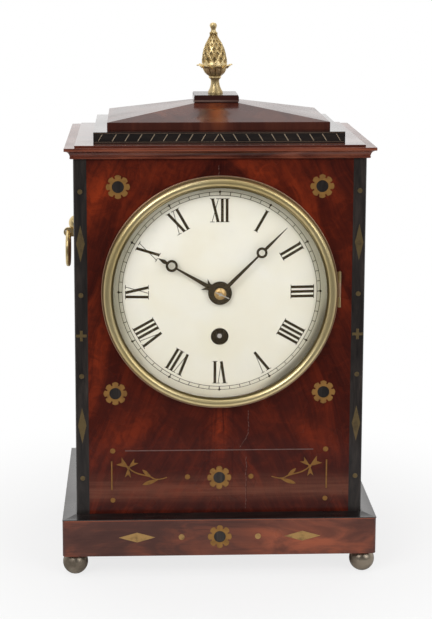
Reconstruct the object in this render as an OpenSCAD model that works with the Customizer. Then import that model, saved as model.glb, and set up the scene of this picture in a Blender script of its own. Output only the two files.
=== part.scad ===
// Table clock with a caddy top, a hinged bezel, side handles and a fusee timepiece movement.
// Millimetres. The clock stands on z = 0 with its dial towards -y, and the middle of its base is the origin.

/* [Feet and base] */
// Diameter of each ball foot
foot_d = 23.5; // [20:0.5:28]
// Height of the feet below the base
foot_h = 21; // [18:0.5:22]
// Distance from the edge of the base in to the middle of a foot
foot_in = 13.5; // [12:0.5:20]
// Height of the base
base_h = 35; // [28:0.5:42]
// How far the base stands out past the case
base_out = 13; // [10:0.5:18]
// Radius of the upright corners of the base
base_round = 4; // [1:0.5:8]
// Height of the moulding round the foot of the case
skirt_h = 2.4; // [1.6:0.2:5]

/* [Case] */
// Width of the case
case_w = 270; // [262:1:300]
// Depth of the case
case_d = 188; // [170:1:200]
// Height of the case boards
case_h = 341; // [335:0.5:365]
// Thickness of the case boards
board_t = 10; // [8:0.5:11]
// Width of the ebonised strips at the front corners
strip_w = 12.3; // [8:0.1:12.8]
// Height of the middle of the dial above the foot of the case
dial_up = 215.3; // [212:0.1:220]

/* [Top] */
// Height of the cornice
cornice_h = 10.4; // [9:0.2:16]
// How far the cornice stands out past the case
cornice_out = 8; // [6:0.2:12]
// Height of the slab on the cornice
slab_h = 1.8; // [1.2:0.2:4]
// Height of the ebonised step
step_h = 10.2; // [8:0.2:14]
// Distance from the edge of the slab in to the step
step_in = 17; // [15:0.5:24]
// Height of the upright edge of the roof
eaves_h = 7.6; // [5:0.1:10]
// Distance from the edge of the step in to the roof
roof_in = 12.5; // [9:0.5:16]
// Rise of the roof above its upright edge
roof_rise = 13.6; // [10:0.1:20]
// Side of the square pad under the finial
pad_w = 43; // [40:0.5:50]
// Height of the pad under the finial
pad_h = 7.5; // [5:0.1:10]
// Height of the finial
finial_h = 68.4; // [60:0.1:76]

/* [Dial and bezel] */
// Diameter of the dial that shows inside the bezel
sight_d = 198; // [192:1:200]
// Width of the bezel's ring
bezel_w = 11; // [10:0.5:12]
// Height of the bezel in front of the case
bezel_h = 9.5; // [9:0.1:11]
// Rise of the painted dial at its middle
dial_dome = 5; // [4:0.1:5.5]
// Distance of the dial's edge behind the front of the case
dial_back = 6; // [5.5:0.1:7]
// Thickness of the dial
dial_t = 1.2; // [0.8:0.1:1.4]
// Thickness of the glass
glass_t = 1.8; // [1.4:0.1:2]
// Height of the bezel's hinge
bezel_hinge_h = 33; // [28:1:50]
// Diameter of the winding hole in the dial
wind_hole_d = 16.6; // [14:0.2:18]
// Minute hand's reach from the middle of the dial
minute_reach = 87; // [80:0.5:89]
// Hour hand's reach from the middle of the dial
hour_reach = 66; // [62:0.5:70]
// Angle of the minute hand, clockwise from twelve
minute_angle = 45; // [0:1:359]
// Angle of the hour hand, clockwise from twelve
hour_angle = 303; // [0:1:359]

/* [Movement] */
// Width of the brass plates
plate_w = 136; // [134:1:142]
// Height of the brass plates
plate_h = 152; // [151:1:158]
// Thickness of the brass plates
plate_t = 2.5; // [2:0.1:3]
// Distance between the plates
plate_gap = 47.5; // [47:0.5:50]
// Distance of the front plate behind the front of the case
plate_back = 20; // [19.6:0.1:22]
// Diameter of the pillars between the plates
pillar_d = 9; // [8:0.5:10]
// Diameter of the spring barrel
barrel_d = 42; // [40:0.5:42.5]
// Large diameter of the fusee
fusee_d = 40; // [36:0.5:40.5]
// Side of the winding square
wind_square = 5.4; // [4.6:0.1:5.6]
// Length of the pendulum from its bend to the middle of its bob
pendulum_l = 200; // [190:1:204]
// Diameter of the pendulum's bob
bob_d = 48; // [40:1:54]

/* [Inlay, handles and frets] */
// Depth of the inlaid brass
inlay_t = 0.8; // [0.6:0.1:1.2]
// Diameter of the brass rosettes
rosette_d = 22.3; // [20:0.1:24]
// Diameter of a handle's ring, to the middle of its wire
ring_d = 32; // [28:0.5:38]
// Thickness of a handle's ring
ring_t = 4.4; // [4:0.1:5]
// Distance from the side of the case out to a handle's ring
ring_out = 9; // [8.5:0.1:10]
// Height of the handles' eyes above the foot of the case
handle_up = 256.3; // [245:0.1:266]
// Width of a side fret
fret_w = 90; // [72:18:108]
// Height of a side fret
fret_h = 126; // [90:9:144]
// Radius of one scale of the frets
scale_r = 9; // [8:0.5:12]

/* [Rear door] */
// Width of the rear door's frame
door_rail = 27; // [20:1:32]
// Height of a rear door hinge
door_hinge_h = 36; // [28:1:44]

/* [Clearances] */
// Gap round pieces that are let into wood
inlay_gap = 0.1; // [0.05:0.01:0.2]
// Radial gap of turning fits
run_gap = 0.06; // [0.03:0.01:0.09]
// Gap beside pieces that move past each other
side_gap = 0.3; // [0.2:0.05:0.5]
// Gap round the rear door
door_gap = 0.6; // [0.4:0.1:1]

/* [Hidden] */
$fn = 64;

mahogany = [0.42, 0.13, 0.07];
ebony = [0.14, 0.13, 0.13];
brass = [0.70, 0.60, 0.35];
inlay_brass = [0.58, 0.45, 0.24];
steel = [0.45, 0.46, 0.50];
blued = [0.13, 0.12, 0.12];
cream = [0.91, 0.90, 0.83];
silk = [0.35, 0.10, 0.10];
clear = [0.80, 0.88, 0.88, 0.35];

// Heights of the stack, from the surface up
case_z = foot_h + base_h;
cornice_z = case_z + case_h;
slab_z = cornice_z + cornice_h;
step_z = slab_z + slab_h;
roof_z = step_z + step_h;
pad_z = roof_z + eaves_h + roof_rise;
finial_z = pad_z + pad_h;
dial_z = case_z + dial_up;

// Plans of the stack
base_w = case_w + 2 * base_out;
base_d = case_d + 2 * base_out;
slab_in = 1.4;
slab_w = case_w - 2 * slab_in;
slab_d = case_d + 1;
step_w = slab_w - 2 * step_in;
step_d = slab_d - 2 * step_in;
roof_w = step_w - 2 * roof_in;
roof_d = step_d - 2 * roof_in;
foot_flat = 3;
stud_d = 7;
stud_l = 16;
bottom_t = 8;
strip_round = 3;

// Dial and bezel
sight_r = sight_d / 2;
bezel_r = sight_r + bezel_w;
lip_w = 2.2;
glass_r = sight_r + lip_w - 0.2;
dial_r = sight_r + 3;
aperture_r = dial_r + 1;
lip_back = bezel_h - 2.85;
glass_dome = 6.1;
glass_rim = lip_back - glass_t - 0.35;
bezel_pin_x = bezel_r + 1;
bezel_pin_w = 1.7;
bezel_pin_r = 0.7;
knuckle_r = 1.5;
hinge_v = 2.5;
leaf_t = 1.2;
leaf_w = 6;
hinge_foot = knuckle_r * 0.6;
hinge_tab = 4;
knuckle_share = 0.4;
catch_x = bezel_r - 3.5;
catch_t = 1;
catch_w = 8;

// Distances in front of the case along the hand arbor
hour_hand_w = 1;
hour_hand_t = 1;
minute_hand_w = 4;
minute_hand_t = 0.9;
collet_h = 2.5;
arbor_front = minute_hand_w + minute_hand_t + collet_h + 1.9;
arbor_r = 1.5;
cannon_r = 2.6;
hour_pipe_r = 4;
hub_r = 11;
hour_ring = hour_reach - 14.3;
minute_ring = minute_reach - 32.7;
dial_hole_r = hour_pipe_r + 2;

// Movement, with w measured forwards from the front of the case
front_w = -plate_back - plate_t;
back_w = front_w - plate_gap;
rear_w = back_w - plate_t;
plate_top = 66;
plate_low = plate_top - plate_h;
wind_v = -42.1;
barrel_u = -44.5;
barrel_v = -36;
great_teeth = 96;
great_pinion = 8;
centre_teeth = 84;
third_pinion = 7;
third_teeth = 78;
escape_pinion = 7;
escape_teeth = 30;
escape_r = 16;
great_m = -2 * wind_v / (great_teeth + great_pinion);
great_tip = great_m * (great_teeth / 2 + 1);
centre_m = 0.6;
third_m = 0.5;
third_away = centre_m * (centre_teeth + third_pinion) / 2;
third_bearing = 50;
third_u = third_away * cos(third_bearing);
third_v = third_away * sin(third_bearing);
escape_away = third_m * (third_teeth + escape_pinion) / 2;
escape_v = third_v + sqrt(escape_away * escape_away - third_u * third_u);
pallet_v = escape_v + escape_r * sqrt(2);
cannon_teeth = 36;
minute_teeth = 36;
minute_pinion = 6;
hour_teeth = 72;
motion_m = 0.6;
minute_u = -motion_m * (cannon_teeth + minute_teeth) / 2;
hour_m = -2 * minute_u / (minute_pinion + hour_teeth);
motion_w = -plate_back + 1.6;
motion_t = 1.4;
hour_wheel_w = -plate_back + 6.5;
hour_wheel_t = 1.2;
great_w = front_w - 6;
great_t = 2.5;
fusee_l = 28;
barrel_w = front_w - 8.5;
barrel_l = 29;
centre_wheel_w = back_w + 6.5;
third_wheel_w = back_w + 18.5;
escape_wheel_w = front_w - 14.7;
wheel_t = 1.5;
pivot_r = 0.8;
train_r = 1.05;
wind_r = 4;
pillar_u = plate_w / 2 - 8;
pillar_top = plate_top - 8;
pillar_low = plate_low + 8;
seat_t = 12;
seat_in = 14;
seat_z = dial_z + plate_low;
bolt_r = 2.4;

// Pendulum and crutch, with w as above
pendulum_w = rear_w - 11.5;
crutch_w = rear_w - 4;
rod_r = 1.5;
crutch_l = 56;
cock_w = 30;
strip_t = 0.3;

// Rear door
door_w = case_w - 2 * board_t - 2 * door_gap;
rail_low = 14;
rail_top = 12;
door_low = case_z + rail_low + door_gap;
door_top = cornice_z - rail_top - door_gap;
door_y = case_d / 2 - board_t;
door_pin_x = case_w / 2 - board_t;
door_pin_r = 1.2;
door_knuckle_r = 2.6;
door_pin_y = case_d / 2 + door_knuckle_r + 0.2;
door_glass_t = 2;
turn_z = (door_low + door_top) / 2;
turn_x = -door_w / 2 + door_rail / 2;
turn_t = 2;
turn_reach = door_rail / 2 + door_gap + 5;

// Handles
rose_r = 13;
rose_up = 3;
boss_r = 8;
boss_up = 9;
boss_h = 8.5;
handle_z = case_z + handle_up;
fret_z = case_z + 115;
fret_t = 1.2;
fret_edge = 4;
bar_t = 0.9;

// Points along a circle's arc
function arc(r, from, to, steps) = [for (i = [0:steps]) let (a = from + (to - from) * i / steps)
    [r * cos(a), r * sin(a)]];
function shift(points, by) = [for (p = points) p + by];
function turn(points, a) = [for (p = points) [p[0] * cos(a) - p[1] * sin(a), p[0] * sin(a) + p[1] * cos(a)]];

// Outline of a leaf from one point to another, widest a third of the way from its tip
function leaf(from, to, width) = let (d = to - from, l = norm(d), n = [-d[1], d[0]] / l, steps = 6)
    concat([for (i = [0:steps]) let (t = i / steps) from + d * t + n * width / 2 * sin(180 * pow(t, 0.8))],
        [for (i = [steps - 1:-1:1]) let (t = i / steps) from + d * t - n * width / 2 * sin(180 * pow(t,
            0.8))]);

// Outline of a petal with a forked end, of a given length and half width, along an angle
function forked(l, half, a, grow) = turn([[-grow, 0], [l * 0.45, -half * 0.5 - grow],
    [l + grow * 2, -half - grow], [l * 0.72 + grow, 0], [l + grow * 2, half + grow],
    [l * 0.45, half * 0.5 + grow]], a);

// Points of a curve through four guide points
function bend(a, b, c, d, steps) = [for (i = [0:steps]) let (t = i / steps, s = 1 - t)
    a * s * s * s + b * 3 * s * s * t + c * 3 * s * t * t + d * t * t * t];

// Outline of a ribbon of a given width along a list of points
function ribbon(p, width) = let (n = len(p) - 1,
        side = [for (i = [0:n]) let (d = p[min(i + 1, n)] - p[max(i - 1, 0)]) [-d[1], d[0]] / norm(d)])
    concat([for (i = [0:n]) p[i] + side[i] * width / 2], [for (i = [n:-1:0]) p[i] - side[i] * width / 2]);

// Outline of a wheel with rounded clock teeth: count, module, height above and depth below the pitch circle
// in modules, and the width of a tooth as a share of its pitch
function toothed(n, m, above, below, share) = let (pitch = 360 / n, r = n * m / 2, h = pitch * share / 2)
    [for (i = [0:n - 1], p = [[-h, -below], [-h, 0], [-h * 0.45, above], [h * 0.45, above], [h, 0], [h,
        -below]])
        let (a = i * pitch + p[0]) (r + p[1] * m) * [cos(a), sin(a)]];

// Outline of a scape wheel with pointed teeth that lean forwards
function scape(n, r, depth) = let (pitch = 360 / n)
    [for (i = [0:n - 1], p = [[0, 0], [pitch * 0.1, 0], [pitch * 0.5, -depth], [pitch * 0.86, -depth]])
        let (a = i * pitch + p[0]) (r + p[1]) * [cos(a), sin(a)]];

module at_front(x, z, w = 0) translate([x, -case_d / 2 - w, z]) rotate([90, 0, 0]) children();
module at_dial(u = 0, v = 0, w = 0) at_front(u, dial_z + v, w) children();
module both_sides() {
    children();
    mirror([1, 0, 0]) children();
}
module box(w, d, h, z) translate([-w / 2, -d / 2, z]) cube([w, d, h]);

// A rectangle with round corners, drawn with true circles
module round_box(w, d, h, r) union() {
    translate([-w / 2 + r, -d / 2, 0]) cube([w - 2 * r, d, h]);
    translate([-w / 2, -d / 2 + r, 0]) cube([w, d - 2 * r, h]);
    for (x = [-1, 1], y = [-1, 1]) translate([x * (w / 2 - r), y * (d / 2 - r), 0]) cylinder(r = r, h = h);
}

// A mitred frame of one profile round a rectangle: the profile's x runs outwards from the rectangle's edge
// and its y upwards, and the mitres run from a depth inside the edge to a distance outside it
module mitred(w, d, profile, inside, out) for (side = [0:3]) rotate([0, 0, side * 90]) {
    long = side % 2 == 0 ? w / 2 : d / 2;
    away = side % 2 == 0 ? d / 2 : w / 2;
    intersection() {
        translate([-long - out, -away, 0]) rotate([90, 0, 90])
            linear_extrude(2 * (long + out)) polygon([for (p = profile) [-p[0], p[1]]]);
        linear_extrude(40) polygon([[inside - long, inside - away], [long - inside, inside - away],
            [long + out, -away - out], [-long - out, -away - out]]);
    }
}

// Flat shapes of the inlay, each grown by a gap where it cuts its own seat
module rosette_shape(petals, grow) {
    petal_r = rosette_d * 0.14;
    circle(r = rosette_d / 2 - petal_r + 0.4 + grow);
    for (i = [0:petals - 1]) rotate((i + 0.5) * 360 / petals)
        translate([rosette_d / 2 - petal_r, 0]) circle(r = petal_r + grow, $fn = 24);
}
module lozenge(w, h, grow) polygon([[-w / 2 - grow, 0], [0, -h / 2 - grow], [w / 2 + grow, 0], [0,
    h / 2 + grow]]);
module bar(w, h, grow) square([w + 2 * grow, h + 2 * grow], center = true);
module dot(d, grow) circle(d = d + 2 * grow, $fn = 24);
module spray(grow) {
    circle(r = 1.4 + grow, $fn = 24);
    polygon(forked(11, 4.4, 144, grow));
    polygon(forked(10, 3, 41, grow));
    polygon(forked(9.6, 2.9, 267, grow));
    polygon(ribbon(bend([-0.3, 0.2], [8, -9], [18, -6], [24, -11.2], 8), 1.1 + 2 * grow));
    polygon(ribbon(bend([23.4, -10.8], [26, -12.4], [31, -12], [36.3, -9.8], 4), 0.9 + 2 * grow));
    polygon(leaf([13.2 - grow, -2], [21.8, -10.3 - grow], 3.2 + 2 * grow));
    polygon(leaf([13.2 - grow, -17], [28.5 + grow, -11.8], 3.7 + 2 * grow));
}

// The inlay of the front board, seen from the front, with heights above the surface the clock stands on
module front_pattern(grow) {
    translate([0, panel_top]) bar(2 * panel_x, 0.9, grow);
    for (side = [-1, 1]) scale([side, 1]) {
        translate([-spray_x, case_z + 47.2]) spray(grow);
        translate([edge_x, case_z + 39.4]) bar(1.2, 28, grow);
        translate([edge_x - 1, panel_top]) dot(4.8, grow);
        translate([edge_x - 1, case_z + 15.3]) dot(4.6, grow);
        translate([30, case_z + 37.6]) dot(4.8, grow);
    }
}
panel_top = case_z + 63.7;
panel_x = case_w / 2 - 46.2;
spray_x = case_w / 2 - 49.2;
edge_x = case_w / 2 - 33.5;
rosette_x = case_w / 2 - 41;
rosette_low_x = case_w / 2 - 37.4;
rosette_top = cornice_z - 26.1;
rosette_low = dial_z - 95.9;
rosette_places = [[-rosette_x, rosette_top, 8], [rosette_x, rosette_top, 8], [-rosette_low_x, rosette_low, 8],
    [rosette_low_x, rosette_low, 8], [0, case_z + 36.7, 10]];
base_rosette = [0, foot_h + 18.2, 10];
lozenge_long = 34.5;
strip_x = case_w / 2 - strip_w / 2;
module strip_pattern(grow) {
    for (z = [case_z + 37.2, dial_z - 79, dial_z - 1.8, cornice_z - 30.4]) translate([0, z]) dot(4.6, grow);
    for (z = [case_z + 88.8, cornice_z - 78.8]) translate([0, z]) lozenge(8, lozenge_long, grow);
    translate([0, dial_z - 40.3]) {
        bar(10, 2.6, grow);
        bar(2.6, 10, grow);
    }
}
module base_pattern(grow) for (side = [-1, 1]) {
    translate([side * base_lozenge_x, 0]) lozenge(lozenge_long, 9.6, grow);
    translate([side * base_dot_x, 0]) dot(5.5, grow);
}
module step_pattern(grow) {
    lean = 4.2;
    count = floor((step_w / 2 - lean - 1) / lines_away);
    for (z = [1, step_h - 1]) translate([0, z]) bar(step_w - 2, 0.6, grow);
    for (side = [-1, 1], i = [0:count - 1]) scale([side, 1]) translate([0.75 + i * lines_away, 0])
        polygon(ribbon([[lean, 1.7], [0, step_h - 1.7]], 0.8 + 2 * grow));
}
base_lozenge_x = base_w / 2 - 70.1;
base_dot_x = 36;
lines_away = 11.8;
plug_d = 11;
plug_t = 1;
rosette_t = 1.2;

module front_cuts(grow) {
    at_front(0, 0, -inlay_t) linear_extrude(inlay_t + 1) front_pattern(grow);
    for (p = rosette_places) at_front(p[0], p[1], -rosette_t)
        linear_extrude(rosette_t + 1) rosette_shape(p[2], grow);
}
module base_cuts(grow) translate([0, -base_out, 0]) {
    at_front(0, base_rosette[1], -inlay_t) linear_extrude(inlay_t + 1) base_pattern(grow);
    at_front(0, base_rosette[1], -rosette_t)
        linear_extrude(rosette_t + 1) rosette_shape(base_rosette[2], grow);
}

module ball_feet() color(brass) for (x = [-1, 1], y = [-1, 1])
    translate([x * (base_w / 2 - foot_in), y * (base_d / 2 - foot_in), 0]) {
        rise = sqrt(foot_d * foot_d / 4 - foot_flat * foot_flat);
        intersection() {
            translate([0, 0, rise]) sphere(d = foot_d);
            cylinder(d = foot_d + 2, h = foot_h);
        }
        translate([0, 0, foot_h - 1]) cylinder(d = stud_d, h = stud_l + 1);
    }

module base_plinth() color(mahogany) difference() {
    translate([0, 0, foot_h]) round_box(base_w, base_d, base_h, base_round);
    for (x = [-1, 1], y = [-1, 1])
        translate([x * (base_w / 2 - foot_in), y * (base_d / 2 - foot_in), foot_h - 1])
            cylinder(d = stud_d + 2 * inlay_gap, h = stud_l + 1.5);
    base_cuts(inlay_gap);
}

module base_moulding() color(ebony) translate([0, 0, case_z]) {
    edge = 0.8;
    hollow = skirt_h - edge;
    far = base_out - 0.2;
    mitred(case_w + 2 * inlay_gap, case_d + 2 * inlay_gap, concat([[0, 0], [far, 0], [far, edge]],
        [for (i = [1:5]) [far - (far - 1.5) * i / 5, edge + hollow * (1 - cos(i * 18))]], [[0, skirt_h]]),
            0, base_out);
}

module carcass_boards() color(mahogany) {
    inner_w = case_w - 2 * board_t;
    for (level = [[case_z, bottom_t], [cornice_z - bottom_t, bottom_t]])
        translate([-inner_w / 2, board_t - case_d / 2, level[0]]) cube([inner_w, case_d - 2 * board_t,
            level[1]]);
}

module side_board() {
    x = case_w / 2 - board_t;
    difference() {
        translate([x, board_t - case_d / 2, case_z]) cube([board_t, case_d - board_t, case_h]);
        translate([x - 1, -fret_w / 2, fret_z - fret_h / 2]) cube([board_t + 2, fret_w, fret_h]);
        translate([x - 1, -fret_w / 2 - fret_edge, fret_z - fret_h / 2 - fret_edge])
            cube([fret_t + silk_t + 2 * inlay_gap + 1, fret_w + 2 * fret_edge, fret_h + 2 * fret_edge]);
        translate([x - 1, 0, handle_z]) rotate([0, 90, 0]) cylinder(r = rose_stud_r + inlay_gap,
            h = board_t + 2);
    }
}
silk_t = 0.5;
rose_stud_r = 2.5;
module side_right() color(mahogany) side_board();
module side_left() color(mahogany) difference() {
    mirror([1, 0, 0]) side_board();
    translate([turn_x - turn_reach - 1, door_y - turn_t - 0.2 - 2 * side_gap, turn_z - turn_reach - 1])
        cube([10, turn_t + 4 * side_gap, 2 * turn_reach + 2]);
}

// Seat of the bezel hinge's fixed leaf
module hinge_seat() at_dial(bezel_pin_x - leaf_w - inlay_gap, hinge_v - bezel_hinge_h / 2 - inlay_gap,
    -leaf_t)
    cube([leaf_w + hinge_foot + 2 * inlay_gap, bezel_hinge_h + 2 * inlay_gap, leaf_t + 1]);

module front_board() color(mahogany) difference() {
    wide = case_w - 2 * strip_w;
    translate([-wide / 2, -case_d / 2, case_z]) cube([wide, board_t, case_h]);
    at_dial(0, 0, -board_t - 1) cylinder(r = aperture_r, h = board_t + 2, $fn = 128);
    front_cuts(inlay_gap);
    hinge_seat();
    at_dial(-catch_x - catch_t / 2 - 0.8, -catch_w / 2 - 1, -board_t - 1) cube([catch_t + 1.6, catch_w + 2,
        board_t + 2]);
}

module corner_strips() color(ebony) difference() {
    both_sides() translate([case_w / 2 - strip_w, -case_d / 2, case_z]) {
        translate([0, strip_round, 0]) cube([strip_w, board_t - strip_round, case_h]);
        cube([strip_w - strip_round, board_t, case_h]);
        translate([strip_w - strip_round, strip_round, 0]) cylinder(r = strip_round, h = case_h);
    }
    for (side = [-1, 1]) at_front(side * strip_x, 0, -inlay_t) linear_extrude(inlay_t + 1)
        strip_pattern(inlay_gap);
    hinge_seat();
}

module rear_rails() color(mahogany) {
    inner_w = case_w - 2 * board_t;
    for (level = [[case_z, rail_low], [cornice_z - rail_top, rail_top]])
        translate([-inner_w / 2, case_d / 2 - board_t, level[0]]) cube([inner_w, board_t, level[1]]);
}

cornice_in = 20;
module cornice() color(mahogany) translate([0, 0, cornice_z]) {
    lip = 2.8;
    bead_r = 1.2;
    cove_r = cornice_h - lip - 2 * bead_r;
    mitred(case_w, case_d, concat([[-cornice_in, 0]], shift(arc(bead_r, -90, 90, 6), [bead_r + 0.6, bead_r]),
        shift(arc(cove_r, 180, 90, 6), [cornice_out, 2 * bead_r]), [[cornice_out, cornice_h], [-cornice_in,
            cornice_h]]),
        cornice_in, cornice_out + 1);
}

module cap_board() color(mahogany) {
    fit = cornice_in + side_gap / 2;
    box(slab_w, slab_d, slab_h, slab_z);
    box(case_w - 2 * fit, case_d - 2 * fit, 6 + slab_h, slab_z - 6);
}

module ebony_step() color(ebony) difference() {
    box(step_w, step_d, step_h, step_z);
    translate([0, case_d / 2 - step_d / 2, step_z]) at_front(0, 0, -inlay_t) linear_extrude(inlay_t + 1)
        step_pattern(inlay_gap);
}
module step_inlay() color(inlay_brass) translate([0, case_d / 2 - step_d / 2, step_z])
    at_front(0, 0, -inlay_t) linear_extrude(inlay_t) step_pattern(0);

// Hipped roof: an upright edge, then four slopes up to the pad
module roof() color(mahogany) {
    box(roof_w, roof_d, eaves_h, roof_z);
    hull() {
        box(roof_w, roof_d, 0.01, roof_z + eaves_h - 0.01);
        box(pad_w, pad_w, 0.01, pad_z - 0.01);
    }
}
module finial_pad() color(mahogany) difference() {
    edge = 1.2;
    translate([0, 0, pad_z]) union() {
        box(pad_w, pad_w, pad_h - 2 * edge, edge);
        for (z = [0, pad_h - edge]) box(pad_w - edge, pad_w - edge, edge, z);
    }
    translate([0, 0, finial_z - 6]) cylinder(r = finial_stud_r + inlay_gap, h = 8);
}
finial_stud_r = 2.5;
finial_drawn = 69.1;

module finial() color(brass) translate([0, 0, finial_z]) {
    k = finial_h / finial_drawn;
    translate([0, 0, -5.8]) cylinder(r = finial_stud_r, h = 6.8);
    rotate_extrude() polygon(concat([[0, 0], [7.2, 0], [7.2, 1.4 * k], [6, 3 * k], [4.9, 6.5 * k], [4.3,
        10 * k], [4.4, 14 * k],
        [6.2, 15.2 * k], [6.6, 16.2 * k], [5.7, 17.4 * k], [5.4, 18.2 * k], [8.6, 19.6 * k], [11.2,
            22 * k], [12.4, 25 * k],
        [12.6, 28.4 * k], [12.2, 31 * k], [12.3, 34.5 * k], [11.6, 39.5 * k], [10.1, 45.6 * k], [7.8,
            51.3 * k], [5.2, 56 * k],
        [3.3, 59 * k], [2.8, 61.5 * k], [2.4, 64 * k]],
        [for (i = [1:7]) [3.5 * sin(135 - i * 135 / 7), 65.6 * k + 3.5 * cos(135 - i * 135 / 7)]]));
    for (i = [0:7]) rotate([0, 0, i * 45 + 11]) translate([11, 0, 26.6 * k]) rotate([0, -12, 0])
        linear_extrude(1.1) polygon([[0, -4.3], [3.4, -3.6], [6.4, 0], [3.4, 3.6], [0, 4.3]]);
}

module rosettes() color(inlay_brass) {
    for (p = rosette_places) at_front(p[0], p[1], -rosette_t) linear_extrude(rosette_t) difference() {
        rosette_shape(p[2], 0);
        circle(d = plug_d + 2 * inlay_gap);
    }
    translate([0, -base_out, 0]) at_front(0, base_rosette[1], -rosette_t) linear_extrude(rosette_t)
        difference() {
        rosette_shape(base_rosette[2], 0);
        circle(d = plug_d + 2 * inlay_gap);
    }
}
module rosette_plugs() color(ebony) {
    for (p = rosette_places) at_front(p[0], p[1], -rosette_t) cylinder(d = plug_d, h = plug_t);
    translate([0, -base_out, 0]) at_front(0, base_rosette[1], -rosette_t) cylinder(d = plug_d, h = plug_t);
}
module front_inlay() color(inlay_brass) at_front(0, 0, -inlay_t) linear_extrude(inlay_t) front_pattern(0);
module lozenge_inlay() color(inlay_brass) {
    for (side = [-1, 1]) at_front(side * strip_x, 0, -inlay_t) linear_extrude(inlay_t) strip_pattern(0);
    translate([0, -base_out, 0]) at_front(0, base_rosette[1], -inlay_t) linear_extrude(inlay_t)
        base_pattern(0);
}

// A handle's rose: a turned boss on the side, with an eye for the ring and a stud through the board
rose_t = 2.2;
eye_w = 4.4;
module handle_roses() color(brass) both_sides() translate([case_w / 2, 0, handle_z]) rotate([0, 90, 0]) {
    difference() {
        union() {
            translate([-rose_up, 0, 0]) rotate_extrude() polygon([[0, 0], [rose_r, 0], [rose_r, rose_t * 0.6],
                [rose_r - 1.6, rose_t], [0, rose_t]]);
            translate([-boss_up, 0, 0]) rotate_extrude()
                polygon(concat([[0, 0]], [for (p = arc(1, 0, 90, 9)) [boss_r * p[0], boss_h * p[1]]]));
            translate([-ring_t, -eye_w / 2, 1]) cube([2 * ring_t, eye_w, ring_out - 1]);
            translate([0, eye_w / 2, ring_out]) rotate([90, 0, 0]) cylinder(r = ring_t, h = eye_w);
        }
        translate([0, rose_r + 1, ring_out]) rotate([90, 0, 0]) cylinder(r = ring_t / 2 + 0.4,
            h = 2 * rose_r + 2);
    }
    translate([0, 0, -board_t - 4]) cylinder(r = rose_stud_r, h = board_t + 5);
    translate([0, 0, -board_t - 3.2]) cylinder(r = 5, h = 3.2, $fn = 6);
}
module handle_ring() translate([case_w / 2 + ring_out, 0, handle_z - ring_d / 2]) rotate([0, 90, 0])
    rotate_extrude() translate([ring_d / 2, 0]) circle(d = ring_t, $fn = 32);
module handle_ring_right() color(brass) handle_ring();
module handle_ring_left() color(brass) mirror([1, 0, 0]) handle_ring();

// One opening of the fish scale fret: a round top over two hollow sides
function scale_hole(r, b) = let (start = acos((r - 2 * b) / ((r - b) * sqrt(2))) - 45,
        edge = [for (i = [0:6]) let (a = start + (180 - 2 * start) * i / 6) (r - b) * [cos(a), sin(a)]],
        side = asin(edge[0][1] / (r + b) + r / (r + b)), foot = acos(r / (r + b)))
    concat(edge, [for (i = [1:3]) let (a = side + (foot - side) * i / 4) [-r, -r] + (r + b) * [cos(a),
        sin(a)]],
        [[0, sqrt((r + b) * (r + b) - r * r) - r]],
        [for (i = [3:-1:1]) let (a = side + (foot - side) * i / 4) [r, -r] + (r + b) * [-cos(a), sin(a)]]);

module fret_sheet() difference() {
    columns = floor(fret_w / (2 * scale_r));
    rows = floor(fret_h / scale_r) - 1;
    square([fret_w + 2 * fret_edge - 2 * inlay_gap, fret_h + 2 * fret_edge - 2 * inlay_gap], center = true);
    for (j = [0:rows - 1], i = [0:columns - 1 - j % 2])
        translate([(i - (columns - 1) / 2 + (j % 2) / 2) * 2 * scale_r, (j - (rows - 1) / 2) * scale_r])
            polygon(scale_hole(scale_r, bar_t));
}
module side_frets() color(brass) both_sides()
    translate([case_w / 2 - board_t + fret_t + silk_t, 0, fret_z]) rotate([90, 0, 90])
        translate([0, 0, -fret_t + inlay_gap]) linear_extrude(fret_t) fret_sheet();
module fret_silks() color(silk) both_sides()
    translate([case_w / 2 - board_t, 0, fret_z]) rotate([90, 0, 90])
        linear_extrude(silk_t) square([fret_w + 2 * fret_edge - 1, fret_h + 2 * fret_edge - 1],
            center = true);

// Turned bezel with a rebate behind its lip for the glass, and the middle knuckle of its hinge
module bezel() color(brass) difference() {
    union() {
        at_dial() rotate_extrude($fn = 128) polygon(concat([[glass_r + 0.15, side_gap], [bezel_r, side_gap],
            [bezel_r, 2.2], [bezel_r - 1.6, 2.4]],
            [for (i = [0:7]) let (a = i * 150 / 7 - 8) [bezel_r - 5.6 + 4 * cos(a),
                bezel_h - 4.4 + 4.4 * sin(a)]],
            [[sight_r, lip_back + 0.9], [sight_r, lip_back], [glass_r + 0.15, lip_back]]));
        at_dial(bezel_pin_x, hinge_v - bezel_hinge_h * knuckle_share / 2, 0) {
            translate([0, 0, bezel_pin_w]) rotate([-90, 0, 0]) cylinder(r = knuckle_r,
                h = bezel_hinge_h * knuckle_share);
            translate([-hinge_tab, 0, side_gap]) cube([hinge_tab, bezel_hinge_h * knuckle_share,
                bezel_pin_w]);
        }
    }
    hinge_bore(bezel_pin_r + run_gap);
    for (v = [-bezel_hinge_h / 2 - side_gap, bezel_hinge_h * knuckle_share / 2])
        at_dial(bezel_pin_x, hinge_v + v, bezel_pin_w) rotate([-90, 0, 0])
            cylinder(r = knuckle_r + side_gap, h = bezel_hinge_h * (1 - knuckle_share) / 2 + side_gap);
}
module hinge_bore(r) at_dial(bezel_pin_x, hinge_v - bezel_hinge_h / 2 - 1, bezel_pin_w) rotate([-90, 0, 0])
    cylinder(r = r, h = bezel_hinge_h + 2);
module bezel_catch() color(brass) at_dial(-catch_x, 0, side_gap) {
    translate([-catch_t / 2, -catch_w / 2, -7]) cube([catch_t, catch_w, 7]);
    translate([-catch_t / 2 - 0.5, -catch_w / 2, -6]) cube([0.6, catch_w, 1.6]);
}

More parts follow.
